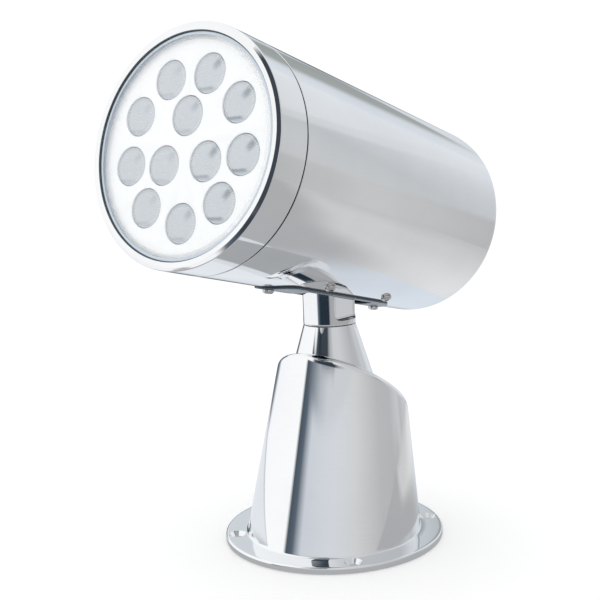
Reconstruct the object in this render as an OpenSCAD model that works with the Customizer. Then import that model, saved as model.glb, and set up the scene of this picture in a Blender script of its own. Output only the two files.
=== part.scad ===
// Marine searchlight: a round head on a panning post over a leaning conical base.
// Millimetres. The origin is the flange centre on the deck plane, front is -Y, up is +Z.

/* [Head] */
// Radius of the head tube
head_r = 64.5; // [62:0.5:68]
// Length of the head from bezel front to back
head_len = 240.5; // [225:0.5:255]
// Wall of the head shell
shell_wall = 1.8; // [1.5:0.1:2.2]
// Edge radius at the back of the head
back_edge = 3; // [2:0.5:5]
// Length of the front bezel
bezel_len = 22; // [19:0.5:24]
// Upward tilt of the head at rest, degrees
rest_tilt = 12.4; // [10:0.1:14]
// Distance of the tilt axle behind the bezel front
axle_s = 137; // [131:0.1:142]
// Height of the tilt axle above the bottom of the head
axle_up = 30.4; // [29.6:0.05:30.6]
// Height of the tilt axle above the deck
axle_z = 181.5; // [181:0.5:186]

/* [Lamp] */
// Thickness of the front glass
lens_t = 2.2; // [2:0.1:4]
// Width of the bezel's face from its rim to its lip
lip_w = 5; // [4.5:0.1:6]
// Pitch radius of the outer ring of optics
outer_ring_r = 39.4; // [38.5:0.1:41]
// Pitch radius of the inner ring of optics
inner_ring_r = 16.6; // [16:0.1:17.2]
// Number of optics in the outer ring
outer_count = 9; // [7:1:9]
// Number of optics in the inner ring
inner_count = 3; // [2:1:3]
// Radius of the holes in the reflector plate
optic_r = 10.75; // [10:0.05:11]
// Length of the heatsink fins
fin_len = 26; // [18:1:32]

/* [Post and neck] */
// Distance of the pan axis behind the flange centre
pan_y = 4.1; // [2:0.1:5]
// Height of the turning seam above the deck
seam_z = 134.3; // [130:0.1:135]
// Radius of the post
post_r = 16.4; // [15.8:0.1:16.6]
// Width of the post across its flats
tongue_w = 22.8; // [21.6:0.1:23]
// Height of the round collar under the flats
collar_h = 2.9; // [2.4:0.1:3.6]
// Flare of the neck cone, millimetres of radius per millimetre
neck_flare = 0.30; // [0.24:0.01:0.32]
// Radius of the pan spindle
spindle_r = 9; // [8:0.1:9.4]
// Width of the visible turning seam
seam_gap = 0.5; // [0.4:0.05:0.8]

/* [Base] */
// Radius of the flange
flange_r = 69; // [68:0.5:74]
// Thickness of the flange
flange_t = 4; // [3.4:0.1:5]
// Place of the bolt circle between the cone's foot and the flange rim
bolt_place = 0.47464; // [0.46:0.00001:0.52]
// Radius of the deck bolt holes
bolt_hole_r = 3; // [2.5:0.1:3.4]
// Radius of the countersinks
csk_r = 5.5; // [5:0.1:5.8]
// Radius of the cone at its foot
foot_r = 55.2; // [54.2:0.1:55.6]
// Radius of the cone at its upper reference height
top_r = 40.5; // [39.6:0.1:43]
// Backward lean of the cone over its reference height
lean = 13.75; // [12:0.05:15]
// Height over which radius and lean are measured
cone_h = 99.8; // [95:0.1:106]
// Slope of the base's top, degrees
slope = 34; // [30:0.1:35]
// Height of the sloped top above the flange centre
slope_z = 106.1; // [104.5:0.05:108]
// Rounding of the base's upper rim
rim_round = 4.5; // [3.8:0.1:6]
// Wall of the base
base_wall = 3; // [2.6:0.1:3.4]

/* [Drive] */
// Gear module
gear_mod = 1; // [0.95:0.01:1.02]
// Teeth of the pan gear
pan_teeth = 48; // [46:1:48]
// Teeth of the pan pinion
pan_pinion_teeth = 16; // [15:1:16]
// Teeth of the full circle of the tilt sector
tilt_teeth = 52; // [50:1:53]
// Teeth of the tilt pinion
tilt_pinion_teeth = 18; // [17:1:20]
// Width of the gears
gear_w = 8; // [6:0.5:9]
// Play between meshing teeth
backlash = 0.2; // [0.16:0.01:0.3]
// Radius of the gear motors
motor_r = 12.5; // [11.5:0.1:12.8]
// Tilt travel upward from rest, degrees
tilt_up = 18; // [10:1:18]
// Tilt travel downward from rest, degrees
tilt_down = 34; // [20:1:36]

/* [Hidden] */
$fn = 64;

steel = [0.80, 0.81, 0.82];
dark = [0.12, 0.12, 0.13];
white = [0.95, 0.95, 0.94];
brass = [0.78, 0.62, 0.32];
board = [0.10, 0.33, 0.20];
alloy = [0.68, 0.69, 0.70];
resin = [0.88, 0.87, 0.80];
clear = [0.80, 0.86, 0.90, 0.4];
lit = [0.95, 0.82, 0.35];

// Head, measured along its axis from the bezel front
axis_up = head_r - axle_up;
shell_in = head_r - shell_wall;
bore_r = shell_in - 1.3;
gasket_s = 1.3;
lens_s = gasket_s + 0.5;
plate_s = lens_s + lens_t + 0.2;
board_s = plate_s + 12.2;
sink_s = board_s + 1.6;
fin_s = sink_s + 6;
driver_s = fin_s + fin_len + 10;
seal_s = bezel_len;
shell_s = seal_s + 1;
skirt_s = fin_s + 7;
lip_r = head_r - lip_w;
lens_r = lip_r - 0.9;
ring_turn = -2;

// Slot for the post in the bottom of the head
slot_gasket_t = 0.4;
slot_plate_t = 0.8;
plate_out = head_r + slot_gasket_t + slot_plate_t;
plate_drop = axle_up + slot_gasket_t + slot_plate_t;
up_abs = rest_tilt + tilt_up;
down_abs = tilt_down - rest_tilt;
slot_half = tongue_w / 2 + 0.8;
slot_front = -plate_drop * tan(down_abs) - post_r / cos(down_abs) - 1;
slot_back = plate_drop * tan(up_abs) + post_r / cos(up_abs) + 1;
strip_mid = axle_up * tan(rest_tilt);
strip_half_w = slot_half + 2.9;
strip_at = strip_mid - 4;
strip_half = 61;
foot_half = 36;
foot_screw = 31.5;
foot_angle = 20.5;

// Tilt drive
cheek_in = tongue_w / 2 + 1.2;
cheek_t = 2.5;
cheek_out = cheek_in + cheek_t;
axle_r = 4;
fork_half = 3;
bush_r = 6;
tilt_gear_r = gear_mod * tilt_teeth / 2;
tilt_pinion_r = gear_mod * tilt_pinion_teeth / 2;
tilt_centres = tilt_gear_r + tilt_pinion_r;
web_z = tilt_centres + motor_r + 2.5;
pinion_shaft_r = 3;
motor_off = abs(tilt_centres - axis_up) + motor_r - 1.2;
motor_end = sqrt(shell_in * shell_in - motor_off * motor_off) - 4.4;

// Post, neck and pan drive
collar_z = seam_z + seam_gap / 2;
ledge_z = collar_z + collar_h;
neck_top = seam_z - seam_gap / 2;
neck_r = post_r - 0.05;
spindle_bore_r = 4;
run_gap = 0.05;
bush_out = spindle_r + 2.5;
spigot_r = bush_out + 3;
spigot_z = 78;
nut_z = spigot_z + 1;
nut_t = 7;
spindle_z = 54.5;
gear_z = 58;
pan_gear_r = gear_mod * pan_teeth / 2;
pan_pinion_r = gear_mod * pan_pinion_teeth / 2;
pan_centres = pan_gear_r + pan_pinion_r;
chassis_z = 50;
chassis_t = 3;
plate_z = 3;
plate_t = 2;
plate_top = plate_z + plate_t;
motor_y = pan_y + pan_centres;
pillar_at = [for (q = [[-0.63, -0.185], [0.63, -0.185], [-0.52, 0.52], [0.52, 0.52]]) foot_r * q];
board_at = [[-22, -30], [22, -30], [-22, -9], [22, -9]];
boss_angles = [-28, 28, 152, 208];
boss_r = foot_r - base_wall - 7.5;
rib_len = foot_r - base_wall + 0.2 - boss_r;
bolt_r = foot_r + (flange_r - foot_r) * bolt_place;
groove_in = foot_r - 0.4;
groove_w = 2.8;
groove_out = groove_in + groove_w;

// Leaning cone
ky = lean / cone_h;
kr = (foot_r - top_r) / cone_h;
fall = tan(slope);
fall_n = sqrt(1 + fall * fall);
ring_steps = 72;
round_steps = 5;

function cone_pt(u, ins, a) = [
  (foot_r - ins - kr * u) * cos(a),
  ky * u + (foot_r - ins - kr * u) * sin(a),
  flange_t + u
];
function rim_u(d, ins, a) =
  (slope_z - d * fall_n - flange_t - fall * (foot_r - ins) * sin(a))
  / (1 + fall * (ky - kr * sin(a)));
function rim_ring(d, ins) = [
  for (j = [0 : ring_steps - 1])
    let (a = j * 360 / ring_steps)
    cone_pt(rim_u(d, ins, a), ins, a)
];
function foot_ring(z, ins) = [
  for (j = [0 : ring_steps - 1])
    cone_pt(z - flange_t, ins, j * 360 / ring_steps)
];
function flat(list) = [for (part = list) for (item = part) item];

// Leaning cone with a sloped, rounded top
module leaning_cone(ins, radius, z0) {
  rings = concat(
    [foot_ring(z0, ins)],
    [for (k = [0 : round_steps])
      let (t = k * 90 / round_steps)
      rim_ring(ins + radius * (1 - sin(t)), ins + radius * (1 - cos(t)))]
  );
  m = ring_steps;
  last = len(rings) - 1;
  sides = [
    for (i = [0 : last - 1])
      for (j = [0 : m - 1])
        let (a = i * m + j, b = i * m + (j + 1) % m)
        each [[a, a + m, b + m], [a, b + m, b]]
  ];
  bottom = [[for (j = [0 : m - 1]) j]];
  top = [[for (j = [m - 1 : -1 : 0]) last * m + j]];
  polyhedron(points = flat(rings), faces = concat(bottom, sides, top), convexity = 4);
}

// Everything above the sloped plane that lies a depth under the base's top
module above_slope(depth) {
  translate([0, 0, slope_z - depth * fall_n])
    rotate([-slope, 0, 0])
      translate([-90, -90, 0])
        cube([180, 180, 90]);
}

// Involute tooth flanks
function inv(a) = tan(a) * 180 / PI - a;
function half_tooth(n, r) =
  let (rp = gear_mod * n / 2, rb = rp * cos(20), rr = max(r, rb))
  90 / n - backlash / 2 / rp * 90 / PI + inv(20) - inv(acos(rb / rr));
function tooth_radii(n) =
  let (rp = gear_mod * n / 2, rb = rp * cos(20), root = rp - 1.25 * gear_mod)
  [root, max(rb, root + 0.2), rp - 0.1 * gear_mod, rp + 0.5 * gear_mod, rp + gear_mod];
function tooth(n, a) =
  let (radii = tooth_radii(n), k = len(radii))
  concat(
    [for (i = [0 : k - 1])
      let (b = a - half_tooth(n, radii[i]))
      radii[i] * [cos(b), sin(b)]],
    [for (i = [k - 1 : -1 : 0])
      let (b = a + half_tooth(n, radii[i]))
      radii[i] * [cos(b), sin(b)]]
  );
function teeth(n, first, count, a0) =
  flat([for (i = [first : first + count - 1]) tooth(n, a0 + i * 360 / n)]);

module spur_gear(n, a0, h) {
  linear_extrude(height = h)
    polygon(teeth(n, 0, n, a0));
}

// Frames of the moving parts
module head_pose() {
  translate([0, pan_y, axle_z])
    rotate([-rest_tilt, 0, 0])
      children();
}
module head_axis(s = 0) {
  head_pose()
    translate([0, s - axle_s, axis_up])
      rotate([-90, 0, 0])
        children();
}
module post_pose() {
  translate([0, pan_y, axle_z])
    children();
}
module pan_pose(z = 0) {
  translate([0, pan_y, z])
    children();
}
// Turns a drawing so that its plane is the side view and it grows along +X
module side(x0) {
  translate([x0, 0, 0])
    rotate([90, 0, 90])
      children();
}
// Places something on the outside of the head, angle measured from its bottom line
module on_shell(s, angle, r) {
  head_axis(s)
    rotate([0, 0, -angle])
      rotate([-90, 0, 0])
        translate([0, 0, r])
          children();
}

module tube(outer, inner, h) {
  difference() {
    cylinder(r = outer, h = h);
    translate([0, 0, -1])
      cylinder(r = inner, h = h + 2);
  }
}
// Round-headed screw with a hexagon socket, head on +Z, shank on -Z
module cap_screw(head, high, shank, long) {
  difference() {
    union() {
      cylinder(r = head, h = high * 0.55);
      translate([0, 0, high * 0.55])
        cylinder(r1 = head, r2 = head * 0.7, h = high * 0.45);
    }
    translate([0, 0, high * 0.4])
      cylinder(r = head * 0.45, h = high, $fn = 6);
  }
  translate([0, 0, -long])
    cylinder(r = shank, h = long + 0.2);
}
// Positions of the optics, angles counted from the right as seen from the front
module at_optics() {
  for (i = [0 : outer_count - 1])
    rotate([0, 0, ring_turn + 90 + i * 360 / outer_count])
      translate([outer_ring_r, 0, 0])
        children();
  for (i = [0 : inner_count - 1])
    rotate([0, 0, ring_turn - 90 + i * 360 / inner_count])
      translate([inner_ring_r, 0, 0])
        children();
}
module at_bolts() {
  for (a = [45 : 90 : 315])
    rotate([0, 0, a])
      translate([bolt_r, 0, 0])
        children();
}
module at_bosses() {
  for (a = boss_angles)
    rotate([0, 0, a])
      translate([boss_r, 0, 0])
        children();
}
module at_feet(r) {
  for (e = [-1, 1])
    for (b = [-1, 1])
      on_shell(axle_s + strip_mid + e * foot_screw, b * foot_angle, r)
        children();
}
module at_strip_ends(r) {
  for (e = [-1, 1])
    on_shell(axle_s + strip_at + e * (strip_half - 4), 0, r)
      children();
}

// Base

module flange_profile() {
  polygon([
    [foot_r - base_wall - 1, 0],
    [flange_r - 0.6, 0],
    [flange_r, 0.6],
    [flange_r, flange_t - 1.2],
    [flange_r - 0.35, flange_t - 0.35],
    [flange_r - 1.2, flange_t],
    [foot_r + 0.8, flange_t],
    [foot_r + 0.25, flange_t + 0.3],
    [foot_r - 1, flange_t + 2.2],
    [foot_r - base_wall - 1, flange_t + 2.2]
  ]);
}

module base_housing() {
  color(steel)
    difference() {
      union() {
        difference() {
          union() {
            rotate_extrude()
              flange_profile();
            leaning_cone(0, rim_round, 1);
          }
          leaning_cone(base_wall, rim_round - base_wall, -1);
        }
        at_bosses()
          translate([0, 0, plate_top]) {
            cylinder(r = 4, h = 12);
            translate([0, -2.5, 0])
              cube([rib_len, 5, 7]);
          }
      }
      at_bolts() {
        translate([0, 0, -1])
          cylinder(r = bolt_hole_r, h = flange_t + 2);
        translate([0, 0, flange_t - (csk_r - bolt_hole_r)])
          cylinder(r1 = bolt_hole_r, r2 = csk_r, h = csk_r - bolt_hole_r);
      }
      at_bosses()
        translate([0, 0, plate_top - 1])
          cylinder(r = 1.6, h = 10);
      pan_pose(60)
        cylinder(r = spigot_r, h = 70);
      translate([0, 0, -1])
        tube(groove_out, groove_in, 2.5);
    }
}

module deck_gasket() {
  color(dark)
    difference() {
      tube(groove_out, groove_in, 1.5);
      at_bolts()
        translate([0, 0, -1])
          cylinder(r = bolt_hole_r, h = 4);
    }
}

module base_plate() {
  color(steel)
    translate([0, 0, plate_z])
      difference() {
        cylinder(r = foot_r - base_wall - 0.5, h = plate_t);
        at_bosses()
          translate([0, 0, -1])
            cylinder(r = 1.9, h = 5);
        for (p = pillar_at)
          translate([p[0], p[1], -1])
            cylinder(r = 1.9, h = 5);
        translate([0, 10, -1])
          cylinder(r = 6, h = 5);
      }
}

module base_plate_screws() {
  color(alloy) {
    at_bosses()
      translate([0, 0, plate_z])
        rotate([180, 0, 0])
          cap_screw(3.2, 1.9, 1.6, 10);
    for (p = pillar_at)
      translate([p[0], p[1], plate_z])
        rotate([180, 0, 0])
          cap_screw(3.2, 1.9, 1.6, 10);
  }
}

module cable_gland() {
  color(dark)
    translate([0, 10, 0])
      difference() {
        union() {
          translate([0, 0, plate_top])
            cylinder(r = 9.5, h = 5, $fn = 6);
          translate([0, 0, plate_top + 5])
            cylinder(r1 = 8, r2 = 6, h = 6);
          translate([0, 0, 0.7])
            cylinder(r = 6, h = plate_top + 2);
          translate([0, 0, 0.7])
            cylinder(r = 9.5, h = plate_z - 0.7, $fn = 6);
        }
        translate([0, 0, -1])
          cylinder(r = 3.6, h = 30);
      }
}

module chassis_pillars() {
  color(brass)
    for (p = pillar_at)
      translate([p[0], p[1], plate_top])
        difference() {
          cylinder(r = 4.2, h = chassis_z - plate_top, $fn = 6);
          translate([0, 0, -1])
            cylinder(r = 1.6, h = 9);
          translate([0, 0, chassis_z - plate_top - 8])
            cylinder(r = 1.6, h = 9);
        }
}

module chassis_plate() {
  color(alloy)
    difference() {
      translate([0, ky * (chassis_z - flange_t), chassis_z])
        cylinder(r = foot_r - base_wall - kr * (chassis_z - flange_t) - 3, h = chassis_t);
      pan_pose(chassis_z - 1)
        cylinder(r = 8, h = chassis_t + 2);
      translate([0, motor_y, chassis_z - 1])
        cylinder(r = 4.5, h = chassis_t + 2);
      for (e = [-1, 1])
        translate([e * 8, motor_y, chassis_z - 1])
          cylinder(r = 1.6, h = chassis_t + 2);
      for (p = pillar_at)
        translate([p[0], p[1], chassis_z - 1])
          cylinder(r = 1.9, h = chassis_t + 2);
    }
}

module chassis_screws() {
  color(alloy)
    for (p = pillar_at)
      translate([p[0], p[1], chassis_z + chassis_t])
        cap_screw(3.2, 2.4, 1.6, 9);
}

module pan_motor() {
  color(alloy)
    translate([0, motor_y, 0])
      difference() {
        union() {
          translate([0, 0, chassis_z - 22])
            cylinder(r = motor_r, h = 22);
          translate([0, 0, plate_top + 4])
            cylinder(r = motor_r - 1.2, h = chassis_z - plate_top - 4);
          translate([0, 0, plate_top + 2])
            cylinder(r = 4, h = 4);
        }
        translate([0, 0, chassis_z - 11])
          cylinder(r = 2.6, h = 12);
        for (e = [-1, 1])
          translate([e * 8, 0, chassis_z - 7])
            cylinder(r = 1.3, h = 8);
      }
}

module pan_motor_screws() {
  color(alloy)
    for (e = [-1, 1])
      translate([e * 8, motor_y, chassis_z + chassis_t])
        cap_screw(2.6, 2, 1.3, 9);
}

module control_board() {
  color(board)
    translate([0, 0, plate_top + 7]) {
      translate([-26, -34, 0])
        cube([52, 30, 1.6]);
      translate([-20, -30, 1.5])
        cube([18, 10, 7]);
      translate([2, -29, 1.5])
        cube([9, 9, 1.8]);
      translate([14, -31, 1.5])
        cube([10, 16, 9]);
      translate([-17, -12, 1.5])
        cylinder(r = 4, h = 11);
      translate([-6, -12, 1.5])
        cylinder(r = 3, h = 8);
    }
}

module board_standoffs() {
  color(brass)
    for (p = board_at)
      translate([p[0], p[1], plate_top])
        cylinder(r = 2.6, h = 7, $fn = 6);
}

module antenna() {
  color(brass)
    translate([8, -9, plate_top + 8.6]) {
      cylinder(r = 2, h = 4);
      translate([0, 0, 3.5])
        cylinder(r = 0.9, h = 22);
    }
}

module neck_cone() {
  low = 80;
  color(steel)
    pan_pose()
      difference() {
        union() {
          difference() {
            translate([0, 0, low])
              cylinder(r1 = neck_r + neck_flare * (neck_top - low), r2 = neck_r, h = neck_top - low);
            translate([0, -pan_y, 0])
              mirror_below();
          }
          translate([0, 0, spigot_z])
            cylinder(r = spigot_r, h = neck_top - 6 - spigot_z);
        }
        translate([0, 0, spigot_z - 1])
          cylinder(r = spindle_r + 0.6, h = 80);
        translate([0, 0, spigot_z - 1])
          cylinder(r = bush_out, h = 13);
        translate([0, 0, neck_top - 14])
          cylinder(r = bush_out, h = 20);
        translate([0, 0, neck_top - 1.8])
          cylinder(r = bush_out + 1.5, h = 10);
      }
}
// Everything below the base's sloped top
module mirror_below() {
  translate([0, 0, slope_z])
    rotate([-slope, 0, 0])
      translate([-90, -90, -90])
        cube([180, 180, 90]);
}

module neck_washer() {
  color(alloy)
    difference() {
      pan_pose(nut_z + nut_t)
        tube(18, spigot_r, 40);
      above_slope(base_wall);
    }
}

module neck_nut() {
  color(alloy)
    pan_pose(nut_z)
      difference() {
        cylinder(r = 20, h = nut_t, $fn = 6);
        translate([0, 0, -1])
          cylinder(r = spigot_r, h = nut_t + 2);
      }
}

module pan_bush_upper() {
  color(resin)
    pan_pose(neck_top - 14)
      difference() {
        union() {
          cylinder(r = bush_out, h = 14);
          translate([0, 0, 12.2])
            cylinder(r = bush_out + 1.5, h = 1.8 + seam_gap - 0.1);
        }
        translate([0, 0, -1])
          cylinder(r = spindle_r + run_gap, h = 30);
      }
}

module pan_bush_lower() {
  color(resin)
    pan_pose(spigot_z)
      difference() {
        union() {
          cylinder(r = bush_out, h = 12);
          translate([0, 0, -1.8])
            cylinder(r = bush_out + 1.5, h = 1.8);
        }
        translate([0, 0, -3])
          cylinder(r = spindle_r + run_gap, h = 20);
      }
}

// Pan body

module tongue_cut(e) {
  w = sqrt(post_r * post_r - tongue_w * tongue_w / 4) + 0.7;
  c = 4;
  x0 = e > 0 ? tongue_w / 2 : -tongue_w / 2 - 12;
  post_pose()
    side(x0)
      translate([0, ledge_z - axle_z, 0])
        linear_extrude(height = 12)
          union() {
            translate([-w + c, 0])
              square([2 * w - 2 * c, 80]);
            translate([-20, c])
              square([40, 80]);
            for (k = [-1, 1])
              translate([k * (w - c), c])
                circle(r = c);
          }
}

module post() {
  color(steel)
    difference() {
      intersection() {
        pan_pose(collar_z)
          cylinder(r = post_r, h = axle_z + 40 - collar_z);
        post_pose()
          side(-30)
            linear_extrude(height = 60)
              polygon([
                [-20, collar_z - axle_z - 1], [20, collar_z - axle_z - 1], [20, 2], [12, 11],
                [6, 15], [-6, 15], [-12, 11], [-20, 2]
              ]);
      }
      tongue_cut(1);
      tongue_cut(-1);
      pan_pose(collar_z - 1)
        cylinder(r = spindle_r, h = 13);
      pan_pose(collar_z + 10)
        cylinder(r = spindle_bore_r, h = axle_z - collar_z - 18);
      post_pose() {
        translate([-fork_half, -30, -17])
          cube([2 * fork_half, 60, 60]);
        side(-30)
          cylinder(r = bush_r, h = 60);
        for (k = [-1, 1])
          side(-30)
            translate([k * 9, -10, 0])
              cylinder(r = 2, h = 60);
      }
    }
}

module pan_spindle() {
  color(alloy)
    pan_pose(spindle_z)
      tube(spindle_r, spindle_bore_r, collar_z + 12 - spindle_z);
}

module pan_gear() {
  color(brass)
    pan_pose(gear_z)
      difference() {
        union() {
          spur_gear(pan_teeth, 90, gear_w);
          cylinder(r = spindle_r + 4, h = spigot_z - 2.1 - gear_z);
        }
        translate([0, 0, -1])
          cylinder(r = spindle_r, h = 40);
      }
}

module spindle_nut() {
  color(alloy)
    pan_pose(spindle_z)
      difference() {
        cylinder(r = spindle_r + 4.5, h = gear_z - spindle_z, $fn = 6);
        translate([0, 0, -1])
          cylinder(r = spindle_r, h = 9);
      }
}

module tilt_bushes() {
  color(resin)
    post_pose()
      for (e = [0, 1])
        mirror([e, 0, 0])
          difference() {
            union() {
              side(fork_half)
                cylinder(r = bush_r, h = tongue_w / 2 - fork_half);
              side(tongue_w / 2)
                cylinder(r = bush_r + 2, h = 0.7);
            }
            side(0)
              cylinder(r = axle_r + run_gap, h = 30);
          }
}

module tilt_sector() {
  color(brass)
    difference() {
      union() {
        head_pose()
          side(-fork_half)
            linear_extrude(height = 2 * fork_half)
              polygon(concat(teeth(tilt_teeth, -5, 14, 90), [[0, 0]]));
        post_pose()
          side(-fork_half)
            cylinder(r = 15, h = 2 * fork_half);
      }
      post_pose() {
        side(-10)
          cylinder(r = axle_r + 0.3, h = 20);
        for (k = [-1, 1])
          side(-10)
            translate([k * 9, -10, 0])
              cylinder(r = 2, h = 20);
      }
    }
}

module sector_pins() {
  color(alloy)
    post_pose()
      for (k = [-1, 1])
        side(-tongue_w / 2)
          translate([k * 9, -10, 0])
            cylinder(r = 2, h = tongue_w);
}

module pan_pinion() {
  color(brass)
    translate([0, motor_y, 0]) {
      translate([0, 0, gear_z - 0.5])
        spur_gear(pan_pinion_teeth, 270 + 180 / pan_pinion_teeth, gear_w + 1);
      translate([0, 0, chassis_z - 10])
        cylinder(r = 2.5, h = gear_z - chassis_z + 12);
    }
}

// Head

module head_shell() {
  e = back_edge;
  f = max(e - shell_wall, 0.5);
  color(steel)
    difference() {
      head_axis()
        rotate_extrude()
          polygon(concat(
            [[shell_in, shell_s], [head_r, shell_s]],
            [for (t = [0 : 15 : 90])
              [head_r - e + e * cos(t), head_len - e + e * sin(t)]],
            [[0, head_len], [0, head_len - shell_wall]],
            [for (t = [90 : -15 : 0])
              [shell_in - f + f * cos(t), head_len - shell_wall - f + f * sin(t)]]
          ));
      head_pose()
        translate([-slot_half, slot_front, -axle_up - 5])
          cube([2 * slot_half, slot_back - slot_front, 14]);
      at_feet(head_r - 8)
        cylinder(r = 1.8, h = 12);
      at_strip_ends(head_r - 8)
        cylinder(r = 1.5, h = 12);
    }
}

module front_bezel() {
  color(steel)
    head_axis()
      rotate_extrude()
        polygon([
          [lip_r, 0.9],
          [lip_r + 0.4, 0.2],
          [head_r - 2.1, 0],
          [head_r - 0.3, 0.75],
          [head_r, 1.35],
          [head_r, seal_s],
          [shell_in, seal_s],
          [shell_in, skirt_s],
          [bore_r, skirt_s],
          [bore_r, gasket_s],
          [lip_r, gasket_s]
        ]);
}

module bezel_gasket() {
  color(dark)
    head_axis(seal_s)
      tube(head_r - 0.8, shell_in, shell_s - seal_s);
}

module lens_gasket() {
  color(white)
    head_axis(gasket_s)
      tube(bore_r, lip_r - 4, lens_s - gasket_s);
}

module lens_spacer() {
  color(resin)
    head_axis(lens_s)
      tube(bore_r, lens_r, plate_s - lens_s);
}

module front_lens() {
  color(clear)
    head_axis(lens_s)
      cylinder(r = lens_r, h = lens_t);
}

module reflector_plate() {
  color(white)
    head_axis(plate_s)
      difference() {
        cylinder(r = bore_r, h = board_s - plate_s);
        translate([0, 0, 1.6])
          cylinder(r = bore_r - 2.6, h = 30);
        at_optics()
          translate([0, 0, -1])
            cylinder(r = optic_r, h = 4);
      }
}

module led_optics() {
  top = optic_r - 0.25;
  color(clear)
    head_axis(plate_s)
      at_optics()
        rotate_extrude()
          polygon([
            [0, 0.9],
            [3, 0.5],
            [top, 0.5],
            [top, 1.8],
            [top - 1, 1.8],
            [7.6, 7.4],
            [4.8, board_s - plate_s],
            [3, board_s - plate_s],
            [2.7, board_s - plate_s - 3],
            [0, board_s - plate_s - 3]
          ]);
}

module led_emitters() {
  color(lit)
    head_axis(board_s)
      at_optics() {
        translate([-1.7, -1.7, -0.8])
          cube([3.4, 3.4, 0.8]);
        translate([0, 0, -2])
          cylinder(r1 = 0.8, r2 = 1.5, h = 1.3);
      }
}

module led_board() {
  color(alloy)
    head_axis(board_s)
      cylinder(r = bore_r, h = sink_s - board_s);
}

module heatsink() {
  color(alloy)
    head_axis(sink_s) {
      cylinder(r = bore_r, h = 6);
      intersection() {
        cylinder(r = bore_r - 8, h = 6 + fin_len);
        for (k = [-5 : 5])
          translate([k * 9 - 1, -60, 5])
            cube([2, 120, fin_len + 1]);
      }
    }
}

module engine_ring() {
  color(dark)
    head_axis(fin_s)
      tube(bore_r, bore_r - 6, 4);
}

module driver_standoffs() {
  color(brass)
    for (e = [-1, 1])
      for (k = [-0.596, 0.1656])
        head_axis(fin_s)
          translate([e * 0.5215 * bore_r, k * bore_r, 0])
            cylinder(r = 2.6, h = driver_s - fin_s, $fn = 6);
}

module driver_board() {
  color(board)
    head_axis(driver_s) {
      translate([-0.596 * bore_r, -0.679 * bore_r, 0])
        cube([1.192 * bore_r, 0.927 * bore_r, 1.6]);
      translate([-24, -20, 1.5])
        cylinder(r = 9, h = 9);
      translate([2, -30, 1.5])
        cube([20, 14, 8]);
      translate([6, 2, 1.5])
        cylinder(r = 4, h = 14);
      translate([17, 2, 1.5])
        cylinder(r = 4, h = 14);
      translate([-12, 2, 1.5])
        cube([10, 8, 2.4]);
    }
}

module tilt_bracket() {
  b0 = strip_mid - foot_half;
  b1 = strip_mid + foot_half;
  color(alloy)
    difference() {
      union() {
        intersection() {
          head_pose()
            for (e = [0, 1])
              mirror([e, 0, 0])
                side(cheek_in)
                  linear_extrude(height = cheek_t)
                    polygon([
                      [b0, -40], [b1, -40], [b1, -14], [22, 6], [17, 26], [17, web_z + 2.5],
                      [-17, web_z + 2.5], [-17, 26], [-20, 6], [b0, -14]
                    ]);
          head_axis()
            cylinder(r = shell_in, h = head_len);
        }
        head_pose()
          translate([-cheek_out, -17, web_z])
            cube([2 * cheek_out, 34, 2.5]);
        intersection() {
          head_axis(axle_s + strip_mid - foot_half)
            tube(shell_in, shell_in - 3, 2 * foot_half);
          head_pose()
            for (e = [0, 1])
              mirror([e, 0, 0])
                translate([cheek_in, b0, -40])
                  cube([31 - cheek_in, b1 - b0, 40]);
        }
      }
      head_pose() {
        side(-40)
          cylinder(r = axle_r, h = 80);
        side(-40)
          translate([0, tilt_centres, 0])
            cylinder(r = pinion_shaft_r + 0.05, h = 80);
        for (k = [-1, 1])
          side(0)
            translate([k * 8.5, tilt_centres, 0])
              cylinder(r = 1.6, h = 40);
      }
      at_feet(shell_in - 8)
        cylinder(r = 1.6, h = 12);
    }
}

module bracket_screws() {
  color(steel)
    at_feet(head_r)
      cap_screw(3.3, 2.2, 1.6, 5);
}

module tilt_motor() {
  color(alloy)
    head_pose()
      translate([0, 0, tilt_centres])
        difference() {
          union() {
            side(cheek_out)
              cylinder(r = motor_r, h = 20);
            side(cheek_out + 19)
              cylinder(r = motor_r - 1.2, h = motor_end - cheek_out - 19);
            side(motor_end - 1)
              cylinder(r = 4, h = 3);
          }
          side(cheek_out - 1)
            cylinder(r = pinion_shaft_r + 0.1, h = 13);
          for (k = [-1, 1])
            side(cheek_out - 1)
              translate([k * 8.5, 0, 0])
                cylinder(r = 1.3, h = 9);
        }
}

module tilt_motor_screws() {
  color(alloy)
    head_pose()
      for (k = [-1, 1])
        translate([cheek_in, k * 8.5, tilt_centres])
          rotate([0, -90, 0])
            cap_screw(2.6, 1.9, 1.3, 9);
}

module tilt_axle() {
  color(alloy)
    head_pose()
      side(-cheek_out - 3)
        cylinder(r = axle_r, h = 2 * cheek_out + 6);
}

module axle_clips() {
  color(dark)
    head_pose()
      for (e = [0, 1])
        mirror([e, 0, 0])
          side(cheek_out)
            tube(7, axle_r, 1.2);
}

// Rounded strip outline across the head's bottom, drawn downward
module strip_shape(r0, r1) {
  intersection() {
    head_axis(axle_s + strip_at - strip_half - 5)
      tube(r1, r0, 2 * strip_half + 10);
    head_axis(axle_s + strip_at)
      rotate([-90, 0, 0])
        linear_extrude(height = 90)
          union() {
            square([2 * strip_half_w, 2 * (strip_half - strip_half_w)], center = true);
            for (e = [-1, 1])
              translate([0, e * (strip_half - strip_half_w)])
                circle(r = strip_half_w);
          }
  }
}
module slot_cut() {
  head_pose()
    translate([-slot_half, slot_front, -axle_up - 12])
      cube([2 * slot_half, slot_back - slot_front, 20]);
}

module slot_plate() {
  color(dark)
    difference() {
      strip_shape(head_r + slot_gasket_t, plate_out);
      slot_cut();
      at_strip_ends(head_r - 8)
        cylinder(r = 1.8, h = 16);
    }
}

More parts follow.
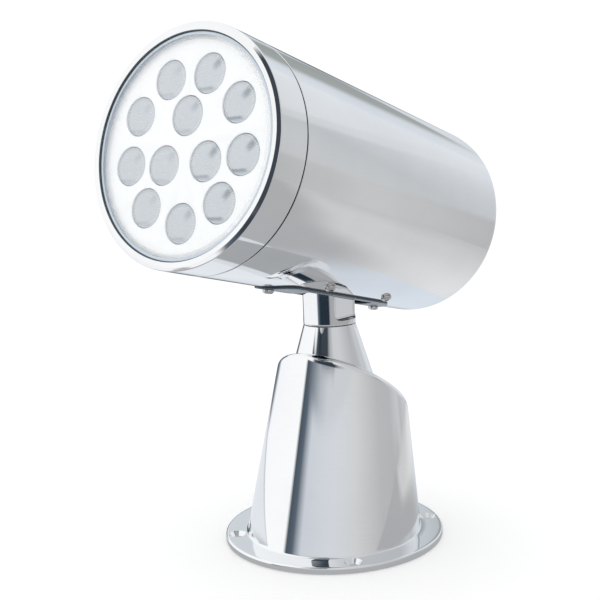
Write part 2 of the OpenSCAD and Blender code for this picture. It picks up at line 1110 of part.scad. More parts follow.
module slot_gasket() {
  color(dark)
    difference() {
      strip_shape(head_r, head_r + slot_gasket_t);
      slot_cut();
      at_strip_ends(head_r - 8)
        cylinder(r = 1.8, h = 16);
    }
}

module slot_plate_screws() {
  color(steel)
    at_strip_ends(plate_out)
      cap_screw(3.3, 2.2, 1.5, 6);
}

module tilt_pinion() {
  color(brass)
    head_pose()
      translate([0, 0, tilt_centres]) {
        side(-gear_w / 2)
          spur_gear(tilt_pinion_teeth, 270 + 180 / tilt_pinion_teeth, gear_w);
        side(-cheek_out)
          cylinder(r = pinion_shaft_r, h = 2 * cheek_out + 11);
      }
}

base_housing();
deck_gasket();
base_plate();
base_plate_screws();
cable_gland();
chassis_pillars();
chassis_plate();
chassis_screws();
pan_motor();
pan_motor_screws();
control_board();
board_standoffs();
antenna();
neck_cone();
neck_washer();
neck_nut();
pan_bush_upper();
pan_bush_lower();
post();
pan_spindle();
pan_gear();
spindle_nut();
tilt_bushes();
tilt_sector();
sector_pins();
pan_pinion();
head_shell();
front_bezel();
bezel_gasket();
lens_gasket();
lens_spacer();
front_lens();
reflector_plate();
led_optics();
led_emitters();
led_board();
heatsink();
engine_ring();
driver_board();
driver_standoffs();
tilt_bracket();
bracket_screws();
tilt_motor();
tilt_motor_screws();
tilt_axle();
axle_clips();
slot_plate();
slot_gasket();
slot_plate_screws();
tilt_pinion();
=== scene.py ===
"""Marine searchlight in polished stainless steel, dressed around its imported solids.

Pieces are drawn in millimetres in their own frame, and placed in metres in the part's frame.
"""

from __future__ import annotations

import logging
import math
from contextlib import contextmanager
from dataclasses import dataclass, field
from enum import Enum
from typing import Callable, Iterator, Sequence, Union

import bmesh
import bpy
from mathutils import Euler, Matrix, Vector

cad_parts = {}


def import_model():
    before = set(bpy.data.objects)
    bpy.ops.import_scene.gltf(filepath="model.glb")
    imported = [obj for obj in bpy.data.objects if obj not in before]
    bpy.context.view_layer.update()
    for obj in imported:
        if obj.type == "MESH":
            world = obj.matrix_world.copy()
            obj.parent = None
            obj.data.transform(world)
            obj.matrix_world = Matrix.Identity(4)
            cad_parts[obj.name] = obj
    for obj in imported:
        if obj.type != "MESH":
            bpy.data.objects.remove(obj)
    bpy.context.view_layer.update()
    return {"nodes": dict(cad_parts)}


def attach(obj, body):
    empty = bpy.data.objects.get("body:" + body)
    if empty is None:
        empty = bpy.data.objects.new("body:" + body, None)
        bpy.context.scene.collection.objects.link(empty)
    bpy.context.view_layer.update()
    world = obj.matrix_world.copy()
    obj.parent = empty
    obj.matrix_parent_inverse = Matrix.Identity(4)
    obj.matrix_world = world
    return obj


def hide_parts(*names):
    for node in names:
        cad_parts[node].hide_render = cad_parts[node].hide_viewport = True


LOG = logging.getLogger("searchlight")
MM = 0.001
FULL_TURN = 2 * math.pi
FACE_MAP = "face_map"
WHITE = (1.0, 1.0, 1.0)

# Limits of the tests that choose faces and edges, in millimetres, and for a normal its Z
PLANE_SLACK = 1e-3
LEVEL_SLACK = 0.01
RING_SLACK = 0.02
NEAR_MIDDLE = 2.0
EDGE_RUN = 1.0
FACING_UP = 0.9

Point = tuple[float, float]
Place = tuple[float, float, float]
Colour = tuple[float, float, float]
Stops = tuple[tuple[float, Colour], ...]
Test = Callable[[Vector, Vector], bool]


class Body(Enum):
    """Bodies of the part that pieces ride on."""

    BASE = "base"
    PAN = "pan"
    HEAD = "head"


class Slot(Enum):
    """Material slots of the part's record, which pieces name when they are dressed."""

    POLISHED_STEEL = "polished_steel"
    BLACK_RUBBER = "black_rubber"
    BLACK_PLASTIC = "black_plastic"
    PALE_RING = "pale_ring"
    CLEAR_GLASS = "clear_glass"
    WHITE_ENAMEL = "white_enamel"
    CLEAR_OPTIC = "clear_optic"


class Shaping(Enum):
    """Ways in which one piece shapes another."""

    CUT = "DIFFERENCE"
    KEEP = "INTERSECT"


class Pick(Enum):
    """Kinds of mesh element that can be selected."""

    VERT = "VERT"
    EDGE = "EDGE"
    FACE = "FACE"


# Frames


@dataclass(frozen=True)
class Layout:
    """Sizes and places that the sub-assemblies share, in millimetres and degrees."""

    pan_y: float = 4.1
    axle_z: float = 181.5
    axle_s: float = 137.0
    axis_up: float = 34.1
    rest_tilt: float = 12.4
    slope: float = 34.0
    slope_z: float = 106.1
    head_r: float = 64.5
    head_wall: float = 1.8

    def pan(self) -> Matrix:
        """Frame of the pan axis on the deck."""
        return Matrix.Translation((0, self.pan_y, 0))

    def head(self) -> Matrix:
        """Frame of the tilt axle, Y back along the head."""
        turn = Matrix.Rotation(math.radians(-self.rest_tilt), 4, "X")
        return Matrix.Translation((0, self.pan_y, self.axle_z)) @ turn

    def tube(self, back: float = 0.0) -> Matrix:
        """Frame on the head's own axis, Z back and Y down, at a distance behind its front."""
        move = Matrix.Translation((0, back - self.axle_s, self.axis_up))
        return self.head() @ move @ Matrix.Rotation(math.radians(-90), 4, "X")

    def on_tube(self, back: float, angle: float, radius: float) -> Matrix:
        """Frame on the outside of the head, Z outwards.

        Args:
            back: distance behind the head's front.
            angle: degrees round the head from its bottom line.
            radius: distance from the head's axis.

        Returns:
            The frame as a matrix.
        """
        turn = Matrix.Rotation(math.radians(-angle), 4, "Z")
        out = Matrix.Rotation(math.radians(-90), 4, "X")
        return self.tube(back) @ turn @ out @ Matrix.Translation((0, 0, radius))

    def axis_point(self) -> Point:
        """Y and Z of a point on the head's axis, in metres."""
        _, y, z = self.tube().translation * MM
        return y, z

    def slope_point(self) -> Vector:
        """Point of the base's sloped top, over the middle of the deck."""
        return Vector((0, 0, self.slope_z))

    def slope_normal(self) -> Vector:
        """Upward normal of the base's sloped top."""
        a = math.radians(self.slope)
        return Vector((0, math.sin(a), math.cos(a)))


LAYOUT = Layout()


# Shader sockets and nodes


class Sock:
    """A shader socket that takes part in Python arithmetic."""

    def __init__(self, book: "NodeBook", socket: bpy.types.NodeSocket) -> None:
        """Keeps the socket and the book that new nodes go into."""
        self.book = book
        self.socket = socket

    def _math(self, operation: str, first: "Value", second: "Value") -> "Sock":
        """Adds one Math node and returns its result."""
        return self.book.node("ShaderNodeMath", {"operation": operation}, {0: first, 1: second})

    def __add__(self, other: "Value") -> "Sock":
        """Sum."""
        return self._math("ADD", self, other)

    def __radd__(self, other: "Value") -> "Sock":
        """Sum with the number first."""
        return self._math("ADD", other, self)

    def __sub__(self, other: "Value") -> "Sock":
        """Difference."""
        return self._math("SUBTRACT", self, other)

    def __rsub__(self, other: "Value") -> "Sock":
        """Difference with the number first."""
        return self._math("SUBTRACT", other, self)

    def __mul__(self, other: "Value") -> "Sock":
        """Product."""
        return self._math("MULTIPLY", self, other)

    def __rmul__(self, other: "Value") -> "Sock":
        """Product with the number first."""
        return self._math("MULTIPLY", other, self)

    def __neg__(self) -> "Sock":
        """Negative."""
        return self._math("MULTIPLY", self, -1.0)

    def apply(self, operation: str) -> "Sock":
        """One Math operation on this socket alone."""
        return self.book.node("ShaderNodeMath", {"operation": operation}, {0: self})

    def angle_from(self, run: "Sock") -> "Sock":
        """Angle of a direction with this rise and another socket's run, in radians."""
        return self._math("ARCTAN2", self, run)

    def above(self, low: float, high: float) -> "Sock":
        """Rises smoothly from 0 at low to 1 at high."""
        settings = {"interpolation_type": "SMOOTHSTEP"}
        return self.book.node("ShaderNodeMapRange", settings, {0: self, 1: low, 2: high})


Value = Union[Sock, float, int, Sequence[float]]


class NodeBook:
    """Writes the nodes of one material or world."""

    def __init__(self, owner: Union[bpy.types.Material, bpy.types.World]) -> None:
        """Empties the owner's node tree.

        Args:
            owner: the material or world that the nodes belong to.
        """
        owner.use_nodes = True
        self.tree = owner.node_tree
        self.tree.nodes.clear()

    def node(
        self,
        kind: str,
        settings: dict[str, object] | None = None,
        inputs: dict[Union[str, int], Value] | None = None,
        output: Union[str, int] = 0,
    ) -> Sock:
        """Adds a node.

        Args:
            kind: Blender's type name of the node.
            settings: properties that are set first; "stops" fills a colour ramp.
            inputs: values or links of its sockets.
            output: the output socket that is returned.

        Returns:
            The chosen output socket.
        """
        made = self.tree.nodes.new(kind)
        for name, value in (settings or {}).items():
            if name == "stops":
                self._fill_ramp(made.color_ramp, value)
            else:
                setattr(made, name, value)
        for key, value in (inputs or {}).items():
            if isinstance(value, Sock):
                self.tree.links.new(value.socket, made.inputs[key])
            elif value is not None:
                made.inputs[key].default_value = value
        return Sock(self, made.outputs[output]) if made.outputs else Sock(self, None)

    @staticmethod
    def _fill_ramp(ramp: bpy.types.ColorRamp, stops: Stops) -> None:
        """Gives a colour ramp its stops.

        Args:
            ramp: the ramp that is filled.
            stops: places from 0 to 1 with their colours, in order.
        """
        while len(ramp.elements) < len(stops):
            ramp.elements.new(1.0)
        for element, (place, colour) in zip(ramp.elements, stops):
            element.position = place
            element.color = (*colour, 1.0)

    def object_coords(
        self, scale: Sequence[float] = (1, 1, 1), turn: Sequence[float] = (0, 0, 0)
    ) -> Sock:
        """Object coordinates, turned and scaled by a Mapping node.

        Args:
            scale: scale along each axis.
            turn: turn about each axis, in radians.

        Returns:
            The coordinates.
        """
        coords = self.node("ShaderNodeTexCoord", output="Object")
        inputs = {"Vector": coords, "Rotation": turn, "Scale": scale}
        return self.node("ShaderNodeMapping", {}, inputs)

    def split(self, vector: Sock) -> list[Sock]:
        """The three numbers of a vector."""
        return [self.node("ShaderNodeSeparateXYZ", {}, {0: vector}, k) for k in range(3)]

    def from_axis(self, layout: Layout) -> Sock:
        """Distance from the head's axis.

        Args:
            layout: where the axis lies and how far it is tilted.

        Returns:
            The distance, in metres.
        """
        x, y, z = self.split(self.object_coords())
        middle_y, middle_z = layout.axis_point()
        a = math.radians(layout.rest_tilt)
        rise = (y - middle_y) * math.sin(a) + (z - middle_z) * math.cos(a)
        return (x * x + rise * rise).apply("SQRT")

    def noise(self, coords: Sock, scale: float, detail: float = 3.0, rough: float = 0.5) -> Sock:
        """Noise between 0 and 1.

        Args:
            coords: where the noise is read.
            scale: how fine it is.
            detail: octaves of finer noise.
            rough: strength of those octaves.

        Returns:
            The noise.
        """
        inputs = {"Vector": coords, "Scale": scale, "Detail": detail, "Roughness": rough}
        return self.node("ShaderNodeTexNoise", {}, inputs)

    def mix(
        self, factor: Value, first: Union[Sock, Colour], second: Union[Sock, Colour]
    ) -> Sock:
        """Mixes two colours.

        Args:
            factor: 0 for the first colour, 1 for the second.
            first: a colour or a socket.
            second: a colour or a socket.

        Returns:
            The mixed colour.
        """
        ends = [c if isinstance(c, Sock) else (*c, 1.0) for c in (first, second)]
        inputs = {0: factor, 6: ends[0], 7: ends[1]}
        return self.node("ShaderNodeMix", {"data_type": "RGBA"}, inputs, 2)

    def bump(self, height: Sock, strength: float, distance: float) -> Sock:
        """Bump normal from a height."""
        inputs = {"Height": height, "Strength": strength, "Distance": distance}
        return self.node("ShaderNodeBump", {}, inputs)

    def principled(self, **sockets: Value) -> Sock:
        """A Principled shader, its sockets named with underscores for spaces."""
        inputs = {name.replace("_", " "): value for name, value in sockets.items()}
        return self.node("ShaderNodeBsdfPrincipled", {}, inputs)

    def emission(self, colour: Union[Sock, Colour], strength: float = 1.0) -> Sock:
        """A shader that gives light."""
        tone = colour if isinstance(colour, Sock) else (*colour, 1.0)
        return self.node("ShaderNodeEmission", {}, {"Color": tone, "Strength": strength})

    def surface(self, shader: Sock, output: str = "ShaderNodeOutputMaterial") -> None:
        """Links a shader to the output."""
        self.node(output, {}, {"Surface": shader})


# Finishes


@dataclass(frozen=True)
class Finish:
    """A finish that is made into one material."""

    name: str

    def material(self) -> bpy.types.Material:
        """The finish's material, made once.

        Returns:
            The material.
        """
        label = "finish_" + self.name
        found = bpy.data.materials.get(label)
        if found is None:
            found = bpy.data.materials.new(label)
            self.write(NodeBook(found))
        return found

    def write(self, book: NodeBook) -> None:
        """Writes the nodes of the finish."""
        raise NotImplementedError


@dataclass(frozen=True)
class PolishedSteel(Finish):
    """Mirror-polished stainless steel with faint buffing marks.

    A lip is the radius round the head's axis, in metres, inside which the steel is painted dark:
    painted shade on the inner wall of the bezel's lip.
    """

    light: Colour = (0.90, 0.91, 0.92)
    dull: Colour = (0.84, 0.85, 0.87)
    smooth: float = 0.03
    haze: float = 0.05
    along: Place = (1, 1, 14)
    cloud_scale: float = 22.0
    cloud_span: Point = (0.35, 0.75)
    mark_scale: float = 90.0
    mark_span: Point = (0.45, 0.85)
    wave_scale: float = 30.0
    tint_by_cloud: float = 0.6
    haze_by_cloud: float = 0.4
    depth: float = 0.04
    relief: float = 0.0002
    mark_relief: float = 0.05
    lip: float = 0.0
    lip_shade_fade: float = 0.0001
    lip_shade_colour: Colour = (0.11, 0.13, 0.135)

    def write(self, book: NodeBook) -> None:
        """Writes the nodes of the finish, with painted shade on the wall inside the lip if it has
        one.

        Args:
            book: where the nodes go.
        """
        plain, drawn = book.object_coords(), book.object_coords(self.along)
        cloud = book.noise(plain, self.cloud_scale, detail=4.0).above(*self.cloud_span)
        marks = book.noise(drawn, self.mark_scale, detail=5.0, rough=0.6).above(*self.mark_span)
        waves = book.noise(plain, self.wave_scale, detail=1.0)
        tint = cloud * self.tint_by_cloud + marks * (1 - self.tint_by_cloud)
        haze = cloud * self.haze_by_cloud + marks * (1 - self.haze_by_cloud)
        colour = book.mix(tint, self.light, self.dull)
        # Painted shade: inside the lip the steel is painted dark, where the lip's inner wall lies
        # in shade
        if self.lip:
            outside = book.from_axis(LAYOUT).above(self.lip - self.lip_shade_fade, self.lip)
            colour = book.mix(outside, self.lip_shade_colour, colour)
        book.surface(
            book.principled(
                Base_Color=colour,
                Metallic=1.0,
                Roughness=self.smooth + haze * self.haze,
                Normal=book.bump(waves + marks * self.mark_relief, self.depth, self.relief),
            )
        )


@dataclass(frozen=True)
class CutMetal(Finish):
    """Machined metal with turning or rolling marks."""

    colour: Colour
    shade: Colour
    rough: float = 0.32
    swing: float = 0.16
    along: Place = (1, 1, 30)
    line_scale: float = 60.0
    stain_scale: float = 55.0
    depth: float = 0.12
    relief: float = 0.0002

    def write(self, book: NodeBook) -> None:
        """Writes the nodes of the finish.

        Args:
            book: where the nodes go.
        """
        lines = book.noise(book.object_coords(self.along), self.line_scale, detail=6.0, rough=0.65)
        stain = book.noise(book.object_coords(), self.stain_scale, detail=4.0)
        book.surface(
            book.principled(
                Base_Color=book.mix(lines * 0.5 + stain * 0.5, self.shade, self.colour),
                Metallic=1.0,
                Roughness=self.rough + (lines - 0.5) * self.swing,
                Normal=book.bump(lines, self.depth, self.relief),
            )
        )


@dataclass(frozen=True)
class Moulding(Finish):
    """Moulded rubber or plastic with a fine grain."""

    colour: Colour
    shade: Colour
    rough: float = 0.5
    swing: float = 0.16
    grain_scale: float = 900.0
    cloud_scale: float = 45.0
    depth: float = 0.15
    relief: float = 0.0001

    def write(self, book: NodeBook) -> None:
        """Writes the nodes of the finish.

        Args:
            book: where the nodes go.
        """
        coords = book.object_coords()
        grain = book.noise(coords, self.grain_scale, detail=2.0)
        cloud = book.noise(coords, self.cloud_scale, detail=3.0)
        book.surface(
            book.principled(
                Base_Color=book.mix(cloud, self.shade, self.colour),
                Roughness=self.rough + (grain - 0.5) * self.swing,
                Normal=book.bump(grain, self.depth, self.relief),
            )
        )


@dataclass(frozen=True)
class SoftSeal(Finish):
    """Clear silicone seal, bluer outwards, with painted shade at its outer edge beside the bezel's
    lip.

    The spans are radii round the head's axis, in metres.
    """

    colour: Colour = (0.93, 0.95, 0.97)
    blue: Colour = (0.66, 0.745, 0.84)
    edge: Colour = (0.10, 0.12, 0.125)
    blue_span: Point = (0.0576, 0.0579)
    edge_span: Point = (0.0590, 0.0592)
    film: float = 0.10
    rough: float = 0.40
    swing: float = 0.12
    cloud_scale: float = 60.0

    def write(self, book: NodeBook) -> None:
        """Writes the nodes of the finish.

        Args:
            book: where the nodes go.
        """
        radius = book.from_axis(LAYOUT)
        # Painted shade: the seal's outer edge, next to the lip, is painted dark
        tinted, outer = radius.above(*self.blue_span), radius.above(*self.edge_span)
        cloud = book.noise(book.object_coords(), self.cloud_scale, detail=2.0)
        book.surface(
            book.principled(
                Base_Color=book.mix(outer, book.mix(tinted, self.colour, self.blue), self.edge),
                Roughness=self.rough + (cloud - 0.5) * self.swing,
                Alpha=self.film + tinted * (1 - self.film),
            )
        )


@dataclass(frozen=True)
class BoardLacquer(Finish):
    """Circuit board with copper tracks under green lacquer."""

    colour: Colour = (0.02, 0.14, 0.07)
    track: Colour = (0.05, 0.25, 0.12)
    rough: float = 0.35
    swing: float = 0.14
    cell_scale: float = 220.0
    track_span: Point = (0.28, 0.42)
    grain_scale: float = 300.0
    depth: float = 0.2
    relief: float = 0.00005

    def write(self, book: NodeBook) -> None:
        """Writes the nodes of the finish.

        Args:
            book: where the nodes go.
        """
        coords = book.object_coords()
        settings = {"feature": "F1", "distance": "CHEBYCHEV"}
        inputs = {"Vector": coords, "Scale": self.cell_scale}
        lines = book.node("ShaderNodeTexVoronoi", settings, inputs).above(*self.track_span)
        grain = book.noise(coords, self.grain_scale)
        book.surface(
            book.principled(
                Base_Color=book.mix(lines, self.colour, self.track),
                Roughness=self.rough + (grain - 0.5) * self.swing,
                Normal=book.bump(lines, self.depth, self.relief),
            )
        )


@dataclass(frozen=True)
class Enamel(Finish):
    """White baked enamel with a faint orange peel and a painted glow: it gives a little light
    though it is no lamp.
    """

    colour: Colour = (0.955, 0.958, 0.962)
    shade: Colour = (0.935, 0.94, 0.945)
    rough: float = 0.40
    swing: float = 0.12
    peel_scale: float = 420.0
    cloud_scale: float = 35.0
    depth: float = 0.05
    relief: float = 0.0001
    coat: float = 0.25
    coat_rough: float = 0.08
    glow: float = 0.12

    def write(self, book: NodeBook) -> None:
        """Writes the nodes of the finish.

        Args:
            book: where the nodes go.
        """
        coords = book.object_coords()
        peel = book.noise(coords, self.peel_scale, detail=2.0)
        cloud = book.noise(coords, self.cloud_scale, detail=3.0)
        book.surface(
            book.principled(
                Base_Color=book.mix(cloud, self.shade, self.colour),
                Roughness=self.rough + (peel - 0.5) * self.swing,
                Coat_Weight=self.coat,
                Coat_Roughness=self.coat_rough,
                # Painted light: the plate glows a little though it is no lamp
                Emission_Color=(*WHITE, 1.0),
                Emission_Strength=self.glow,
                Normal=book.bump(peel, self.depth, self.relief),
            )
        )


@dataclass(frozen=True)
class ClearPane(Finish):
    """Clear flat glass: see-through, with a reflection that grows at a glance."""

    head_on: float = 0.022
    tint: Colour = (0.994, 0.998, 1.0)
    mirror: Colour = (0.96, 0.97, 0.98)
    smooth: float = 0.01
    haze: float = 0.03
    smear_scale: float = 40.0
    smear_span: Point = (0.4, 0.8)

    def write(self, book: NodeBook) -> None:
        """Writes the nodes of the finish.

        Args:
            book: where the nodes go.
        """
        smears = book.noise(book.object_coords(), self.smear_scale, detail=4.0)
        shine = book.principled(
            Base_Color=(*self.mirror, 1.0),
            Metallic=1.0,
            Roughness=self.smooth + smears.above(*self.smear_span) * self.haze,
        )
        clear = book.node("ShaderNodeBsdfTransparent", {}, {"Color": (*self.tint, 1.0)})
        facing = book.node("ShaderNodeLayerWeight", output="Facing")
        squared = facing * facing
        glance = self.head_on + squared * squared * facing * (1 - self.head_on)
        book.surface(book.node("ShaderNodeMixShader", {}, {0: glance, 1: clear, 2: shine}))


@dataclass(frozen=True)
class OpticFace(Finish):
    """Milky moulded face of an optic, fluted towards its rim, with a painted dark reflection and a
    painted highlight.

    Spans are shares of the face's radius or of its map's width; reflection_fade_span is in metres
    across the lamp.
    """

    index: float = 1.49
    clear: float = 0.12
    light: Colour = (0.765, 0.80, 0.835)
    shade: Colour = (0.66, 0.70, 0.74)
    painted_highlight: Colour = (0.97, 0.98, 0.99)
    dark: Colour = (0.33, 0.38, 0.42)
    rim: Colour = (0.42, 0.46, 0.49)
    rough: float = 0.18
    haze: float = 0.1
    depth: float = 0.2
    relief: float = 0.0004
    streak_tint: float = 0.35
    flute_tint: float = 0.45
    painted_reflection_tint: float = 0.9
    line_tint: float = 0.3
    painted_highlight_tint: float = 0.8
    flutes: int = 40
    flute_span: Point = (0.72, 0.9)
    streak_along: Place = (1, 1, 5)
    streak_turn: Place = (0.4, 0.5, 0.0)
    streak_scale: float = 260.0
    streak_span: Point = (0.3, 0.7)
    reflection_fade_low: float = 0.25
    reflection_fade_span: Point = (-0.01, 0.03)
    wedge_span: Point = (0.10, 0.42)
    wedge_side: Point = (0.02, 0.22)
    bar_low: Point = (0.30, 0.36)
    bar_high: Point = (0.38, 0.44)
    bar_end: Point = (0.04, 0.22)
    line_in: Point = (0.85, 0.88)
    line_out: Point = (0.89, 0.92)
    painted_highlight_span: Point = (0.12, 0.30)
    painted_highlight_end: Point = (0.90, 0.94)
    rim_span: Point = (0.94, 0.985)

    def _mirrored(self, book: NodeBook, x: Sock, y: Sock) -> Sock:
        """The painted dark reflection, a wedge and a bar, fainter towards one side of the lamp.

        Args:
            book: where the nodes go.
            x: place across the face's map, from its middle.
            y: place up the face's map, from its middle.

        Returns:
            How dark the face is.
        """
        across = book.split(book.object_coords())[0]
        # The painted reflection fades out towards one side of the lamp
        reflection_fade = self.reflection_fade_low + across.above(*self.reflection_fade_span) * (1 - self.reflection_fade_low)
        sides = (1 - (x + y).above(*self.wedge_side)) * (1 - (-x - y).above(*self.wedge_side))
        wedge = (x - y).above(*self.wedge_span) * sides
        bar = y.above(*self.bar_low) * (1 - y.above(*self.bar_high))
        return (wedge + bar * (1 - x.above(*self.bar_end))) * reflection_fade

    def write(self, book: NodeBook) -> None:
        """Writes the nodes of the finish.

        Args:
            book: where the nodes go.
        """
        spot = book.node("ShaderNodeUVMap", {"uv_map": FACE_MAP})
        x, y = (axis - 0.5 for axis in book.split(spot)[:2])
        radius = 2 * (x * x + y * y).apply("SQRT")
        wave = (y.angle_from(x) * self.flutes).apply("SINE")
        flute = (wave * 0.5 + 0.5) * radius.above(*self.flute_span)
        turned = book.object_coords(self.streak_along, self.streak_turn)
        streaks = book.noise(turned, self.streak_scale, detail=3.0).above(*self.streak_span)
        line = radius.above(*self.line_in) * (1 - radius.above(*self.line_out))
        # Painted highlight: white on the flutes towards the face's right side
        painted_highlight = flute * x.above(*self.painted_highlight_span) * (1 - radius.above(*self.painted_highlight_end))
        tint = streaks * self.streak_tint + flute * self.flute_tint
        # Painted reflection of the wedge and bar, plus the face's own darker line inside its rim
        dark = self._mirrored(book, x, y) * self.painted_reflection_tint + line * self.line_tint
        milky = book.mix(dark, book.mix(tint, self.light, self.shade), self.dark)
        milky = book.mix(painted_highlight * self.painted_highlight_tint, milky, self.painted_highlight)
        book.surface(
            book.principled(
                Base_Color=book.mix(radius.above(*self.rim_span), milky, self.rim),
                Roughness=self.rough + streaks * self.haze,
                IOR=self.index,
                Transmission_Weight=self.clear,
                Normal=book.bump(flute, self.depth, self.relief),
            )
        )


@dataclass(frozen=True)
class OpticCup(Finish):
    """Bright inner wall of an optic, seen through its face."""

    light: Colour = (0.90, 0.93, 0.95)
    shade: Colour = (0.78, 0.82, 0.85)
    metal: float = 0.5
    rough: float = 0.30
    swing: float = 0.16
    streak_scale: float = 500.0

    def write(self, book: NodeBook) -> None:
        """Writes the nodes of the finish.

        Args:
            book: where the nodes go.
        """
        streaks = book.noise(book.object_coords(), self.streak_scale, detail=3.0)
        book.surface(
            book.principled(
                Base_Color=book.mix(streaks, self.shade, self.light),
                Metallic=self.metal,
                Roughness=self.rough + (streaks - 0.5) * self.swing,
            )
        )


STEEL = PolishedSteel("polished_steel")
# The bezel's steel carries painted shade inside its lip
BEZEL_STEEL = PolishedSteel("bezel_steel", lip=0.05985)
SCREW_STEEL = PolishedSteel("screw_steel", (0.64, 0.62, 0.60), (0.50, 0.49, 0.48))
PLAIN_STEEL = CutMetal("plain_steel", (0.66, 0.67, 0.68), (0.52, 0.53, 0.55), 0.26)
MOTOR_STEEL = CutMetal("motor_steel", (0.55, 0.56, 0.57), (0.40, 0.41, 0.43), 0.30)
ALLOY = CutMetal("bare_alloy", (0.74, 0.75, 0.76), (0.60, 0.61, 0.63), 0.38)
BRASS = CutMetal("brass", (0.80, 0.60, 0.27), (0.62, 0.43, 0.17), 0.28)
RUBBER = Moulding("black_rubber", (0.030, 0.033, 0.034), (0.016, 0.018, 0.019), 0.62)
DARK_PLASTIC = Moulding("black_plastic", (0.045, 0.045, 0.048), (0.028, 0.028, 0.030), 0.42)
RESIN = Moulding("bearing_resin", (0.80, 0.78, 0.70), (0.70, 0.68, 0.60), 0.45)
PALE_RING = Moulding("pale_ring", (0.66, 0.74, 0.84), (0.58, 0.67, 0.79), 0.30)
PALE_SEAL = SoftSeal("pale_seal")
DARK_STRIP = Moulding("dark_strip", (0.085, 0.115, 0.15), (0.06, 0.085, 0.115), 0.2)
PHOSPHOR = Moulding("emitter", (0.90, 0.80, 0.36), (0.84, 0.72, 0.28), 0.5)
BOARD = BoardLacquer("board_green")
ENAMEL = Enamel("white_enamel")
PANE = ClearPane("clear_glass")
OPTIC_FACE = OpticFace("clear_optic")
OPTIC_CUP = OpticCup("optic_cup")


# Modelling bench


def softened(corners: Sequence[Place], steps: int = 6, hold_share: float = 0.4) -> list[Point]:
    """Rounds the corners of a closed outline.

    Args:
        corners: radius, height and rounding of each corner, in order.
        steps: segments of each rounding.
        hold_share: how far past a rounding the straight is held, as a share of it.

    Returns:
        Outline points, with extra ones that hold long straights flat beside a rounding.
    """
    path: list[Point] = []
    count = len(corners)
    for i, (r, z, rounding) in enumerate(corners):
        here = Vector((r, z))
        before = Vector(corners[i - 1][:2]) - here
        after = Vector(corners[(i + 1) % count][:2]) - here
        if rounding <= 0:
            path.append((r, z))
            continue
        bend = before.angle(after)
        reach = rounding / math.tan(bend / 2)
        start, end = before.normalized() * reach, after.normalized() * reach
        middle = (before.normalized() + after.normalized()).normalized() * (
            rounding / math.sin(bend / 2)
        )
        hold = hold_share * rounding
        if before.length > reach + 2 * hold:
            path.append(tuple(here + before.normalized() * (reach + hold)))
        first, last = start - middle, end - middle
        swing = first.angle_signed(last)
        for k in range(steps + 1):
            turn = Matrix.Rotation(-swing * k / steps, 2)
            path.append(tuple(here + middle + turn @ first))
        if after.length > reach + 2 * hold:
            path.append(tuple(here + after.normalized() * (reach + hold)))
    return path


def top_middle(centre: Vector, normal: Vector) -> bool:
    """Whether a face looks up and lies round the middle of the drawing."""
    return normal.z > FACING_UP and centre.xy.length < NEAR_MIDDLE


